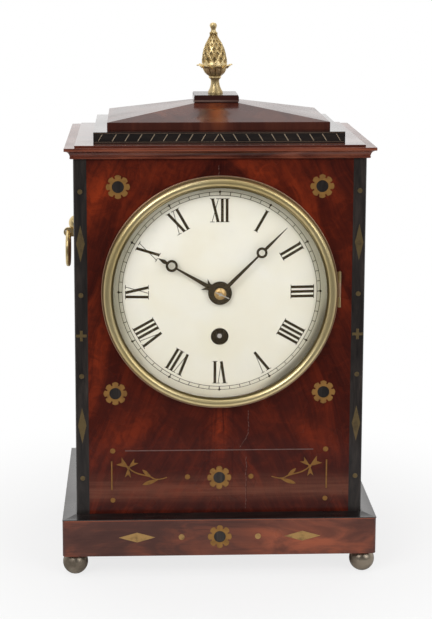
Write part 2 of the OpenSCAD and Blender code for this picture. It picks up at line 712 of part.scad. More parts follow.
// Fixed leaf of the bezel's hinge, with the two outer knuckles, and its pin as a solid of its own
module bezel_hinge() color(brass) {
    end_h = bezel_hinge_h * (1 - knuckle_share) / 2 - side_gap;
    head = 1;
    difference() {
        at_dial(bezel_pin_x, hinge_v - bezel_hinge_h / 2, 0) {
            translate([-leaf_w, 0, -leaf_t]) cube([leaf_w, bezel_hinge_h, leaf_t]);
            for (v = [0, bezel_hinge_h - end_h]) translate([0, v, 0]) {
                translate([-hinge_foot, 0, -leaf_t]) cube([2 * hinge_foot, end_h, leaf_t + bezel_pin_w]);
                translate([0, 0, bezel_pin_w]) rotate([-90, 0, 0]) cylinder(r = knuckle_r, h = end_h);
            }
        }
        hinge_bore(bezel_pin_r + 0.02);
    }
    at_dial(bezel_pin_x, hinge_v - bezel_hinge_h / 2, bezel_pin_w) rotate([-90, 0, 0]) {
        cylinder(r = bezel_pin_r, h = bezel_hinge_h);
        translate([0, 0, bezel_hinge_h]) cylinder(r = bezel_pin_r + 0.4, h = head);
    }
}

// A shallow dome from a rim height to a crown, as a list of points on its section
function dome(r, rise, rim, steps) = let (ball = (r * r + rise * rise) / (2 * rise))
    [for (i = [0:steps]) let (x = r * i / steps) [x, rim + rise - ball + sqrt(ball * ball - x * x)]];
function reversed(points) = [for (i = [len(points) - 1:-1:0]) points[i]];
module dished(r, rise, rim, t) rotate_extrude($fn = 128)
    polygon(concat(dome(r, rise, rim, 10), reversed(dome(r, rise, rim - t, 10))));

module bezel_glass() color(clear) at_dial() dished(glass_r, glass_dome, glass_rim + glass_t, glass_t);

module dial() color(cream) difference() {
    foot_r = 66;
    union() {
        at_dial() dished(dial_r, dial_dome, -dial_back, dial_t);
        for (a = [30, 150, 242, 298]) at_dial(foot_r * cos(a), foot_r * sin(a), -plate_back)
            cylinder(r = 2, h = plate_back - dial_back + dial_dome * (1 - pow(foot_r / dial_r, 2))
                - dial_t * 0.6);
    }
    at_dial(0, 0, -plate_back) cylinder(r = dial_hole_r, h = plate_back);
    at_dial(0, wind_v, -plate_back) cylinder(d = wind_hole_d, h = plate_back);
}

// A pierced hand: tapering blade, ring and long point, with its reach and its ring's place and sizes
module hand_shape(reach, ring_at, ring_od, ring_id, root_w, tip_w, tip_at) difference() {
    union() {
        polygon([[-root_w / 2, 0], [root_w / 2, 0], [0.8, ring_at - ring_od / 2 + 0.6], [-0.8,
            ring_at - ring_od / 2 + 0.6]]);
        translate([0, ring_at]) circle(d = ring_od);
        polygon([[-1, ring_at + ring_id / 2 + 0.4], [1, ring_at + ring_id / 2 + 0.4], [tip_w / 2, tip_at],
            [0.15, reach],
            [-0.15, reach], [-tip_w / 2, tip_at]]);
    }
    translate([0, ring_at]) circle(d = ring_id);
}
module hour_hand() color(blued) at_dial(0, 0, hour_hand_w) rotate([0, 0, -hour_angle]) difference() {
    union() {
        linear_extrude(hour_hand_t) hand_shape(hour_reach, hour_ring, 11.2, 7.9, 4.6, 3.8, hour_reach - 6);
        cylinder(r = hub_r, h = hour_hand_t);
        linear_extrude(hour_hand_t)
            polygon([[-4, 5], [-3.2, 12], [-5.9, 16.8], [-1.5, 14], [0, 15.4], [1.5, 14], [5.9, 16.8],
                [3.2, 12], [4, 5]]);
    }
    translate([0, 0, -1]) cylinder(r = hour_pipe_r - 0.5 + 0.03, h = hour_hand_t + 2);
}
module minute_hand() color(blued) at_dial(0, 0, minute_hand_w) rotate([0, 0, -minute_angle])
    linear_extrude(minute_hand_t) difference() {
        union() {
            hand_shape(minute_reach, minute_ring, 10.2, 7, 4.2, 2.8, minute_ring + 6.7);
            circle(r = 7.5);
        }
        circle(r = cannon_r - 0.6 + 0.03);
    }
module hand_collet() color(brass) at_dial(0, 0, minute_hand_w + minute_hand_t) rotate_extrude()
    polygon(concat([[arbor_r + 0.03, 0], [5.5, 0], [5.5, 0.5]], [for (i = [1:4]) [5.5 - 3.5 * i / 4,
        0.5 + 2 * sin(i * 22.5)]],
        [[arbor_r + 0.03, collet_h]]));
module taper_pin() color(brass) at_dial(0, 0, pin_w) rotate([0, 0, -25]) translate([-5, 0, 0])
    rotate([0, 90, 0]) cylinder(r = pin_r, h = 14);
pin_r = 0.55;
pin_w = minute_hand_w + minute_hand_t + collet_h + pin_r + 0.05;

// Motion work behind the dial
module cannon_wheel() color(brass) at_dial() difference() {
    union() {
        translate([0, 0, motion_w]) linear_extrude(motion_t) polygon(toothed(cannon_teeth, motion_m, 1,
            1.4, 0.42));
        translate([0, 0, motion_w]) cylinder(r = cannon_r, h = minute_hand_w - motion_w);
        translate([0, 0, minute_hand_w - 1]) cylinder(r = cannon_r - 0.6, h = 1 + minute_hand_t);
    }
    translate([0, 0, motion_w - 1]) cylinder(r = arbor_r + 0.03, h = 40);
}
module minute_wheel() color(brass) at_dial(minute_u, 0, 0) difference() {
    union() {
        translate([0, 0, motion_w]) linear_extrude(motion_t)
            polygon(turn(toothed(minute_teeth, motion_m, 1, 1.4, 0.42), 180 / minute_teeth));
        translate([0, 0, motion_w]) linear_extrude(hour_wheel_w + hour_wheel_t - motion_w + 0.6)
            polygon(toothed(minute_pinion, hour_m, 0.9, 1.3, 0.36));
    }
    translate([0, 0, motion_w - 1]) cylinder(r = 0.9 + run_gap, h = 20);
}
module hour_wheel() color(brass) at_dial() difference() {
    union() {
        translate([0, 0, hour_wheel_w]) linear_extrude(hour_wheel_t)
            polygon(turn(toothed(hour_teeth, hour_m, 1, 1.5, 0.42), 180 / hour_teeth));
        translate([0, 0, hour_wheel_w - 0.6]) cylinder(r = hour_pipe_r, h = hour_hand_w - hour_wheel_w + 0.6);
        translate([0, 0, hour_hand_w - 1]) cylinder(r = hour_pipe_r - 0.5, h = 1 + hour_hand_t);
    }
    translate([0, 0, hour_wheel_w - 2]) cylinder(r = cannon_r + run_gap, h = 20);
}

pillar_places = [[-pillar_u, pillar_low], [pillar_u, pillar_low], [-pillar_u, pillar_top], [pillar_u,
    pillar_top],
    [pillar_u, -14]];
module plate_blank(w) at_dial(-plate_w / 2, plate_low, w) cube([plate_w, plate_h, plate_t]);
module through(u, v, r) at_dial(u, v, rear_w - 20) cylinder(r = r, h = 100);
module pillar_holes() for (p = pillar_places) through(p[0], p[1], spigot_r + 0.05);
spigot_r = 2.5;
motion_stud_r = 0.9;
module front_plate() color(brass) {
    difference() {
        plate_blank(front_w);
        pillar_holes();
        through(0, 0, arbor_r + run_gap);
        through(0, wind_v, wind_r + run_gap);
        through(barrel_u, barrel_v, barrel_arbor_r + run_gap);
        through(third_u, third_v, pivot_r + run_gap);
        through(0, escape_v, pivot_r + run_gap);
        through(0, pallet_v, pivot_r + run_gap);
    }
    at_dial(minute_u, 0, -plate_back - 0.5) cylinder(r = motion_stud_r,
        h = hour_wheel_w + plate_back + hour_wheel_t + 1.4);
}
module back_plate() color(brass) difference() {
    plate_blank(rear_w);
    pillar_holes();
    through(0, 0, pivot_r + run_gap);
    through(0, wind_v, 1.6 + run_gap);
    through(barrel_u, barrel_v, barrel_arbor_r + run_gap);
    through(third_u, third_v, pivot_r + run_gap);
    through(0, escape_v, pivot_r + run_gap);
    through(0, pallet_v, 3.4);
}
module pillars() color(brass) difference() {
    for (p = pillar_places) at_dial(p[0], p[1], 0) {
        r = pillar_d / 2;
        mid = plate_gap / 2;
        translate([0, 0, back_w]) rotate_extrude() polygon([[0, 0], [r, 0], [r, 4], [r - 1.4, 6], [r - 1.8,
            mid - 3],
            [r - 0.4, mid - 1.5], [r - 0.4, mid + 1.5], [r - 1.8, mid + 3], [r - 1.4, plate_gap - 6], [r,
                plate_gap - 4],
            [r, plate_gap], [0, plate_gap]]);
        translate([0, 0, rear_w]) cylinder(r = spigot_r, h = plate_gap + 2 * plate_t);
    }
    for (u = [-pillar_u, pillar_u]) translate([u, bolt_y, seat_z - seat_t]) cylinder(r = bolt_r + 0.05,
        h = seat_t + 8);
}
bolt_y = -case_d / 2 - back_w - plate_gap + 10;
runner_w = 20;
runner_h = 12;
module seat_board() color(mahogany) {
    wide = case_w - 2 * board_t - 2 * side_gap;
    deep = -rear_w - seat_in;
    difference() {
        translate([-wide / 2, seat_in - case_d / 2, seat_z - seat_t]) cube([wide, deep, seat_t]);
        for (u = [-pillar_u, pillar_u]) translate([u, bolt_y, seat_z - seat_t - 1])
            cylinder(r = bolt_r + 0.2, h = seat_t + 2);
        at_dial(0, wind_v, great_w - side_gap) cylinder(r = great_tip + 2 * side_gap,
            h = great_t + 2 * side_gap);
    }
    both_sides() translate([case_w / 2 - board_t - runner_w, seat_in - case_d / 2,
        seat_z - seat_t - runner_h])
        cube([runner_w, deep, runner_h]);
}
module seat_bolts() color(steel) for (u = [-pillar_u, pillar_u]) translate([u, bolt_y, seat_z - seat_t]) {
    cylinder(r = bolt_r, h = seat_t + 7);
    translate([0, 0, -3]) cylinder(r = 5, h = 3);
}

// The train between the plates
module arbor(u, v, r, front) at_dial(u, v, 0) {
    translate([0, 0, rear_w]) cylinder(r = pivot_r, h = front - rear_w);
    translate([0, 0, back_w + side_gap]) cylinder(r = r, h = plate_gap - 2 * side_gap);
}
// Four arms left between the rim and the boss of a wheel
module crossings(rim_r, boss_r, arm, t) difference() {
    translate([0, 0, -1]) cylinder(r = rim_r, h = t + 2);
    translate([0, 0, -2]) cylinder(r = boss_r, h = t + 4);
    for (a = [0, 90]) rotate([0, 0, a]) translate([-rim_r - 1, -arm / 2, -2]) cube([2 * rim_r + 2, arm,
        t + 4]);
}
module great_wheel() color(brass) at_dial(0, wind_v, great_w) difference() {
    linear_extrude(great_t) polygon(turn(toothed(great_teeth, great_m, 0.95, 1.4, 0.42),
        90 + 180 / great_teeth));
    translate([0, 0, -1]) cylinder(r = wind_r + run_gap, h = great_t + 2);
}
module fusee() color(brass) at_dial(0, wind_v, 0) {
    grooves = 14;
    small_r = fusee_d / 2 * 0.52;
    large_r = fusee_d / 2 - 1;
    turns_l = fusee_l - 4;
    start = great_w - side_gap - fusee_l;
    translate([0, 0, start]) rotate_extrude() polygon(concat([[0, 0], [small_r + 1, 0], [small_r + 1, 1.5]],
        [for (i = [0:grooves - 1], p = [0.25, 0.75]) let (z = (i + p) / grooves,
            r = 1 / (1 / small_r + (1 / large_r - 1 / small_r) * z)) [r - (p < 0.5 ? 0.9 : 0),
                1.5 + z * turns_l]],
        [[large_r, turns_l + 1.6], [large_r + 1, turns_l + 1.8], [large_r + 1, fusee_l], [0, fusee_l]]));
    translate([0, 0, start - 6]) cylinder(r = 3, h = 7);
    translate([0, 0, rear_w]) cylinder(r = 1.6, h = 20);
    translate([0, 0, great_w - 2]) cylinder(r = wind_r, h = -plate_back - great_w + 2);
    translate([-wind_square / 2, -wind_square / 2, -plate_back - 1]) cube([wind_square, wind_square,
        plate_back - 3.5]);
}
barrel_arbor_r = 3;
module spring_barrel() color(brass) at_dial(barrel_u, barrel_v, barrel_w - barrel_l) difference() {
    r = barrel_d / 2;
    rotate_extrude() polygon([[0, 0], [r - 0.6, 0], [r, 0.4], [r, 1.6], [r - 0.5, 1.8], [r - 0.5,
        barrel_l - 1.8],
        [r, barrel_l - 1.6], [r, barrel_l - 0.4], [r - 0.6, barrel_l], [0, barrel_l]]);
    translate([0, 0, 2]) cylinder(r = r - 2, h = barrel_l - 4);
    translate([0, 0, -1]) cylinder(r = barrel_arbor_r + run_gap, h = barrel_l + 2);
}
module barrel_arbor() color(steel) at_dial(barrel_u, barrel_v, 0) {
    translate([0, 0, rear_w - 0.5]) cylinder(r = barrel_arbor_r, h = plate_gap + 2 * plate_t + 0.6);
    translate([0, 0, barrel_w - barrel_l + 3]) cylinder(r = 6.5, h = barrel_l - 6);
    translate([-2, -2, -plate_back]) cube([4, 4, 6]);
    translate([0, 0, -plate_back + 0.2]) linear_extrude(1.6) difference() {
        polygon(scape(16, 8, 1.4));
        circle(r = 2.8);
    }
    translate([0, 0, -plate_back + 0.2]) cylinder(r = 3.4, h = 1.6);
}
// The gut runs straight from the barrel to the fusee, across their outer sides
line_r = 0.7;
module gut_line() color([0.62, 0.52, 0.35]) at_dial(0, 0, barrel_w - 9) {
    a = [barrel_u, barrel_v];
    b = [0, wind_v];
    d = b - a;
    l = norm(d);
    r1 = barrel_d / 2 + line_r + side_gap;
    r2 = fusee_d / 2 * 0.9 + line_r + side_gap;
    tilt = asin((r1 - r2) / l);
    n = turn([[d[0], d[1]] / l], -90 + tilt)[0];
    from = a + n * r1;
    to = b + n * r2;
    translate([from[0], from[1], 0]) rotate([0, 0, atan2(to[1] - from[1], to[0] - from[0])])
        rotate([0, 90, 0]) cylinder(r = line_r, h = norm(to - from), $fn = 16);
}
module centre_arbor() color(steel) {
    arbor(0, 0, 2.2, front_w);
    at_dial() {
        translate([0, 0, front_w - 2]) difference() {
            cylinder(r = arbor_r, h = arbor_front - front_w + 2);
            translate([0, 0, pin_w - front_w + 2]) rotate([0, 0, -25]) rotate([0, 90, 0])
                translate([0, 0, -4]) cylinder(r = pin_r + 0.03, h = 8);
        }
        translate([0, 0, great_w - 1.2]) linear_extrude(great_t + 2.4)
            polygon(turn(toothed(great_pinion, great_m, 0.8, 1.3, 0.36), 90));
        translate([0, 0, centre_wheel_w]) difference() {
            linear_extrude(wheel_t) polygon(turn(toothed(centre_teeth, centre_m, 0.95, 1.4, 0.42),
                third_bearing));
            crossings(centre_m * centre_teeth / 2 - 3.2, 6, 3, wheel_t);
        }
    }
}
module third_wheel() color(brass) {
    arbor(third_u, third_v, train_r, -plate_back);
    at_dial(third_u, third_v, 0) {
        translate([0, 0, centre_wheel_w - 1]) linear_extrude(wheel_t + 2)
            polygon(turn(toothed(third_pinion, centre_m, 0.8, 1.3, 0.36),
                third_bearing + 180 + 180 / third_pinion));
        translate([0, 0, third_wheel_w]) difference() {
            linear_extrude(wheel_t) polygon(turn(toothed(third_teeth, third_m, 0.95, 1.4, 0.42),
                escape_bearing));
            crossings(third_m * third_teeth / 2 - 2.8, 5, 2.4, wheel_t);
        }
    }
}
escape_bearing = atan2(escape_v - third_v, -third_u);
module escape_wheel() color(brass) {
    arbor(0, escape_v, train_r, -plate_back);
    at_dial(0, escape_v, 0) {
        translate([0, 0, third_wheel_w - 1]) linear_extrude(wheel_t + 2)
            polygon(turn(toothed(escape_pinion, third_m, 0.8, 1.3, 0.36),
                escape_bearing + 180 + 180 / escape_pinion));
        translate([0, 0, escape_wheel_w]) difference() {
            linear_extrude(wheel_t) polygon(scape(escape_teeth, escape_r, 2.6));
            crossings(escape_r - 4.6, 4, 2, wheel_t);
        }
    }
}
// The anchor over the scape wheel, on its arbor, with the crutch behind the back plate
module anchor() color(steel) {
    at_dial(0, pallet_v, 0) {
        translate([0, 0, cock_plate_w - 2.5]) cylinder(r = pivot_r, h = -plate_back - cock_plate_w + 2.5);
        translate([0, 0, cock_plate_w + 0.3]) cylinder(r = train_r, h = front_w - cock_plate_w - 0.6);
        translate([0, 0, crutch_w - 0.6]) {
            cylinder(r = 3.2, h = 1.2);
            translate([-1.3, -crutch_l, 0]) cube([2.6, crutch_l, 1.2]);
            for (side = [0, 1]) mirror([side, 0, 0]) translate([rod_r + side_gap, -crutch_l - 3,
                pendulum_w - crutch_w - 2])
                cube([1.4, 3.6, crutch_w - pendulum_w + 3.2]);
            translate([-rod_r - side_gap - 1.4, -crutch_l - 3, 0]) cube([2 * (rod_r + side_gap + 1.4), 3.6,
                1.2]);
        }
        translate([0, 0, escape_wheel_w - 1]) {
            cylinder(r = 4, h = 3.5);
            translate([0, escape_v - pallet_v, 0]) linear_extrude(3.5) polygon(concat(
                arc(escape_r + pallet_gap, 45, 50, 1), arc(escape_r + 2.2, 51, 129, 10),
                    arc(escape_r + pallet_gap, 130, 135, 1),
                arc(escape_r + 4.8, 139, 41, 10)));
        }
    }
}
pallet_gap = 1.25;
cock_plate_w = rear_w - 6;
cock_t = 2.5;
module back_cock() color(brass) difference() {
    at_dial(0, pallet_v, 0) {
        translate([-cock_w / 2, -6, cock_plate_w - cock_t]) cube([cock_w, 12, cock_t]);
        for (u = [-cock_w / 2, cock_w / 2 - 6]) translate([u, -6, cock_plate_w - 1]) cube([6, 12,
            rear_w - cock_plate_w + 1]);
        translate([-5, 3, pendulum_w - 4]) cube([10, 6, cock_plate_w - pendulum_w + 4 - 1]);
    }
    through(0, pallet_v, pivot_r + run_gap);
    at_dial(-0.9, pallet_v, pendulum_w - 5) cube([1.8, 12, 9]);
}
module pendulum_rod() color(steel) at_dial(0, pallet_v, pendulum_w) {
    translate([-strip_t / 2, -12, -3]) cube([strip_t, 24, 6]);
    translate([-3, 9.3, -3.5]) cube([6, 3.7, 7]);
    translate([-2.5, -17, -3.5]) cube([5, 6.5, 7]);
    translate([0, -16, 0]) rotate([90, 0, 0]) cylinder(r = rod_r, h = pendulum_l + bob_d / 2 + 12 - 16);
}
module pendulum_bob() color(brass) at_dial(0, pallet_v - pendulum_l, pendulum_w) difference() {
    r = bob_d / 2;
    t = 6;
    ball = (r * r + t * t) / (2 * t);
    rotate_extrude() polygon(concat([for (i = [0:6]) let (x = r * i / 6) [x, min(t,
        t - ball + sqrt(ball * ball - x * x) + 0.5)]],
        [for (i = [6:-1:0]) let (x = r * i / 6) [x, -min(t, t - ball + sqrt(ball * ball - x * x) + 0.5)]]));
    translate([0, r + 1, 0]) rotate([90, 0, 0]) cylinder(r = rod_r + 0.05, h = 2 * r + 2);
}
module rating_nut() color(brass) at_dial(0, pallet_v - pendulum_l - bob_d / 2, pendulum_w) rotate([90, 0,
    0]) difference() {
    union() {
        cylinder(r = 5, h = 3);
        cylinder(r = 3, h = 5);
    }
    translate([0, 0, -1]) cylinder(r = rod_r + 0.03, h = 7);
}

// The glazed door at the back, its hinges and its turn catch
module rear_door() color(mahogany) difference() {
    high = door_top - door_low;
    translate([-door_w / 2, door_y, door_low]) cube([door_w, board_t, high]);
    translate([-door_w / 2 + door_rail, door_y - 1, door_low + door_rail])
        cube([door_w - 2 * door_rail, board_t + 2, high - 2 * door_rail]);
    translate([-door_w / 2 + door_rail - 5, door_y - 1, door_low + door_rail - 5])
        cube([door_w - 2 * door_rail + 10, 1 + door_glass_t + 0.2, high - 2 * door_rail + 10]);
    for (z = hinge_levels) translate([door_pin_x - door_leaf - door_gap - inlay_gap,
        case_d / 2 - leaf_t - inlay_gap,
        z - door_hinge_h / 2 - inlay_gap]) cube([door_leaf + 10, 10, door_hinge_h + 2 * inlay_gap]);
    translate([turn_x, door_y - 1, turn_z]) rotate([-90, 0, 0]) cylinder(r = 2.5 + run_gap, h = board_t + 2);
}
door_leaf = 14;
hinge_in = 60;
hinge_levels = [door_low + hinge_in, door_top - hinge_in];
module rear_door_glass() color(clear) translate([-door_w / 2 + door_rail - 4.8, door_y + 0.2,
    door_low + door_rail - 4.8])
    cube([door_w - 2 * door_rail + 9.6, door_glass_t, door_top - door_low - 2 * door_rail + 9.6]);

// Upright knuckles of a door hinge between two shares of its height
module door_knuckles(z, from, to) translate([door_pin_x, door_pin_y,
    z - door_hinge_h / 2 + door_hinge_h * from])
    cylinder(r = door_knuckle_r, h = door_hinge_h * (to - from));
module pin_bore(z, r) translate([door_pin_x, door_pin_y, z - door_hinge_h / 2 - 1]) cylinder(r = r,
    h = door_hinge_h + 2);
module door_hinge_leaves() color(brass) for (z = hinge_levels) difference() {
    part = side_gap / door_hinge_h;
    union() {
        translate([door_pin_x - door_leaf - door_gap, case_d / 2 - leaf_t, z - door_hinge_h / 2])
            cube([door_leaf, leaf_t, door_hinge_h]);
        door_knuckles(z, 0.3 + part, 0.7 - part);
        translate([door_pin_x - door_gap - 4, case_d / 2 - 0.2, z - door_hinge_h * 0.2 + side_gap])
            cube([door_gap + 4, door_pin_y - case_d / 2 - door_pin_r, door_hinge_h * 0.4 - 2 * side_gap]);
    }
    pin_bore(z, door_pin_r + run_gap);
}
module door_hinge_plates() color(brass) for (z = hinge_levels) {
    difference() {
        union() {
            translate([door_pin_x + door_knuckle_r + side_gap, case_d / 2, z - door_hinge_h / 2])
                cube([board_t - 1 - door_knuckle_r - side_gap, leaf_t, door_hinge_h]);
            for (part = [[0, 0.3], [0.7, 1]]) {
                door_knuckles(z, part[0], part[1]);
                translate([door_pin_x, case_d / 2, z - door_hinge_h / 2 + part[0] * door_hinge_h])
                    cube([door_knuckle_r + side_gap + 1, leaf_t, 0.3 * door_hinge_h]);
                translate([door_pin_x, case_d / 2, z - door_hinge_h / 2 + part[0] * door_hinge_h])
                    cube([door_knuckle_r, door_pin_y - case_d / 2, 0.3 * door_hinge_h]);
            }
        }
        pin_bore(z, door_pin_r + 0.02);
    }
    translate([door_pin_x, door_pin_y, z - door_hinge_h / 2]) {
        cylinder(r = door_pin_r, h = door_hinge_h);
        translate([0, 0, door_hinge_h]) cylinder(r = door_pin_r + 0.6, h = 1);
    }
}
module door_turn() color(brass) translate([turn_x, door_y, turn_z]) {
    translate([0, -0.2 - turn_t, 0]) rotate([-90, 0, 0]) cylinder(r = 2.5, h = board_t + 0.2 + turn_t);
    translate([0, board_t, 0]) rotate([-90, 0, 0]) rotate_extrude() polygon([[0, 0], [6, 0], [6, 0.8],
        [2.6, 2.2], [2.4, 4],
        [4.6, 5.6], [5, 7.2], [4, 8.6], [0, 9]]);
    translate([-4, -0.2 - turn_t, -4]) cube([8, turn_t, turn_reach + 4]);
}

ball_feet();
base_plinth();
carcass_boards();
base_moulding();
side_left();
side_right();
front_board();
corner_strips();
rear_rails();
cornice();
cap_board();
ebony_step();
roof();
finial_pad();
finial();
rosettes();
rosette_plugs();
front_inlay();
lozenge_inlay();
step_inlay();
handle_roses();
handle_ring_left();
handle_ring_right();
side_frets();
fret_silks();
bezel();
bezel_glass();
bezel_catch();
bezel_hinge();
rear_door();
rear_door_glass();
door_hinge_leaves();
door_hinge_plates();
door_turn();
dial();
hour_hand();
minute_hand();
hand_collet();
taper_pin();
cannon_wheel();
minute_wheel();
hour_wheel();
front_plate();
back_plate();
pillars();
seat_board();
seat_bolts();
great_wheel();
fusee();
spring_barrel();
barrel_arbor();
gut_line();
centre_arbor();
third_wheel();
escape_wheel();
anchor();
back_cock();
pendulum_rod();
pendulum_bob();
rating_nut();
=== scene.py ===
"""A table clock in flame mahogany, dressed for its picture.

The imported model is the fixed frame. Each class below is one part of the clock: it dresses the parts that
come with the frame and models what they lack. Lengths are in millimetres inside the classes and in metres in
Blender.
"""
import logging
import math
from contextlib import contextmanager
from dataclasses import dataclass, field
from enum import Enum
from functools import reduce
from typing import Any, Callable, Iterator, Sequence

import bpy
from mathutils import Matrix, Vector


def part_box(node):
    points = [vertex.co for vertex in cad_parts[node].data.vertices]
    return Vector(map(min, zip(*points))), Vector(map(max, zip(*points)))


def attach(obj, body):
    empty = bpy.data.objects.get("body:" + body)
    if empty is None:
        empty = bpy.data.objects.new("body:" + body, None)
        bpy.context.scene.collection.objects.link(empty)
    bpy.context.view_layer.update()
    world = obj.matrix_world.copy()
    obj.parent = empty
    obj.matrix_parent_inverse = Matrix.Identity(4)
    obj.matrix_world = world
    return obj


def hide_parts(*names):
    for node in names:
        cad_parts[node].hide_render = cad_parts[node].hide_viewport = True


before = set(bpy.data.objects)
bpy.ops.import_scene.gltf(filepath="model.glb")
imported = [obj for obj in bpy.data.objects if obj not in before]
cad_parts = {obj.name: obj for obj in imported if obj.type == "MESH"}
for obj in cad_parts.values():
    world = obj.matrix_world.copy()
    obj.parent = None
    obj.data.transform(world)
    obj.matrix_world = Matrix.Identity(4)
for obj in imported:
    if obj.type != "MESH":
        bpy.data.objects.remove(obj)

LOG = logging.getLogger("clock")
MM = 0.001
Colour = tuple[float, float, float, float]
Point = tuple[float, float, float]
Pair = tuple[float, float]
Socket = bpy.types.NodeSocket
Piece = bpy.types.Object
Finish = bpy.types.Material


def colour(code: str) -> Colour:
    """Turn a screen colour into the linear values that shaders use.

    Args:
        code: Six hexadecimal digits after a hash.

    Returns:
        Red, green, blue and full opacity.
    """
    parts = [int(code[i:i + 2], 16) / 255 for i in (1, 3, 5)]
    linear = [p / 12.92 if p <= 0.04045 else ((p + 0.055) / 1.055) ** 2.4 for p in parts]
    return (linear[0], linear[1], linear[2], 1.0)


class Grain(Enum):
    """Which way the fibres of a board run."""

    ACROSS = "across"
    DEEP = "deep"
    UPRIGHT = "upright"


class Body(Enum):
    """The moving groups that new pieces ride on."""

    CASE = "case"
    BEZEL = "bezel_door"
    MINUTE = "minute_work"
    HOUR = "hour_work"


def extent(name: str) -> tuple[Vector, Vector]:
    """The lowest and highest corner of a part of the frame, in millimetres."""
    low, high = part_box(name)
    return low / MM, high / MM


def moved(*place: float) -> Matrix:
    """The matrix that moves a piece by millimetres across, deep and up."""
    return Matrix.Translation(Vector(place) * MM)


def spun(degrees: float, axis: str) -> Matrix:
    """The matrix that turns a piece about one axis."""
    return Matrix.Rotation(math.radians(degrees), 4, axis)


def sized(*size: float) -> Matrix:
    """The matrix that scales a piece of one metre to millimetres on each axis."""
    return Matrix.Diagonal((*(length * MM for length in size), 1))


def facing(place: Sequence[float]) -> Matrix:
    """The matrix that stands a piece at a place in millimetres, with its top to the front."""
    return moved(*place) @ spun(90, "X")


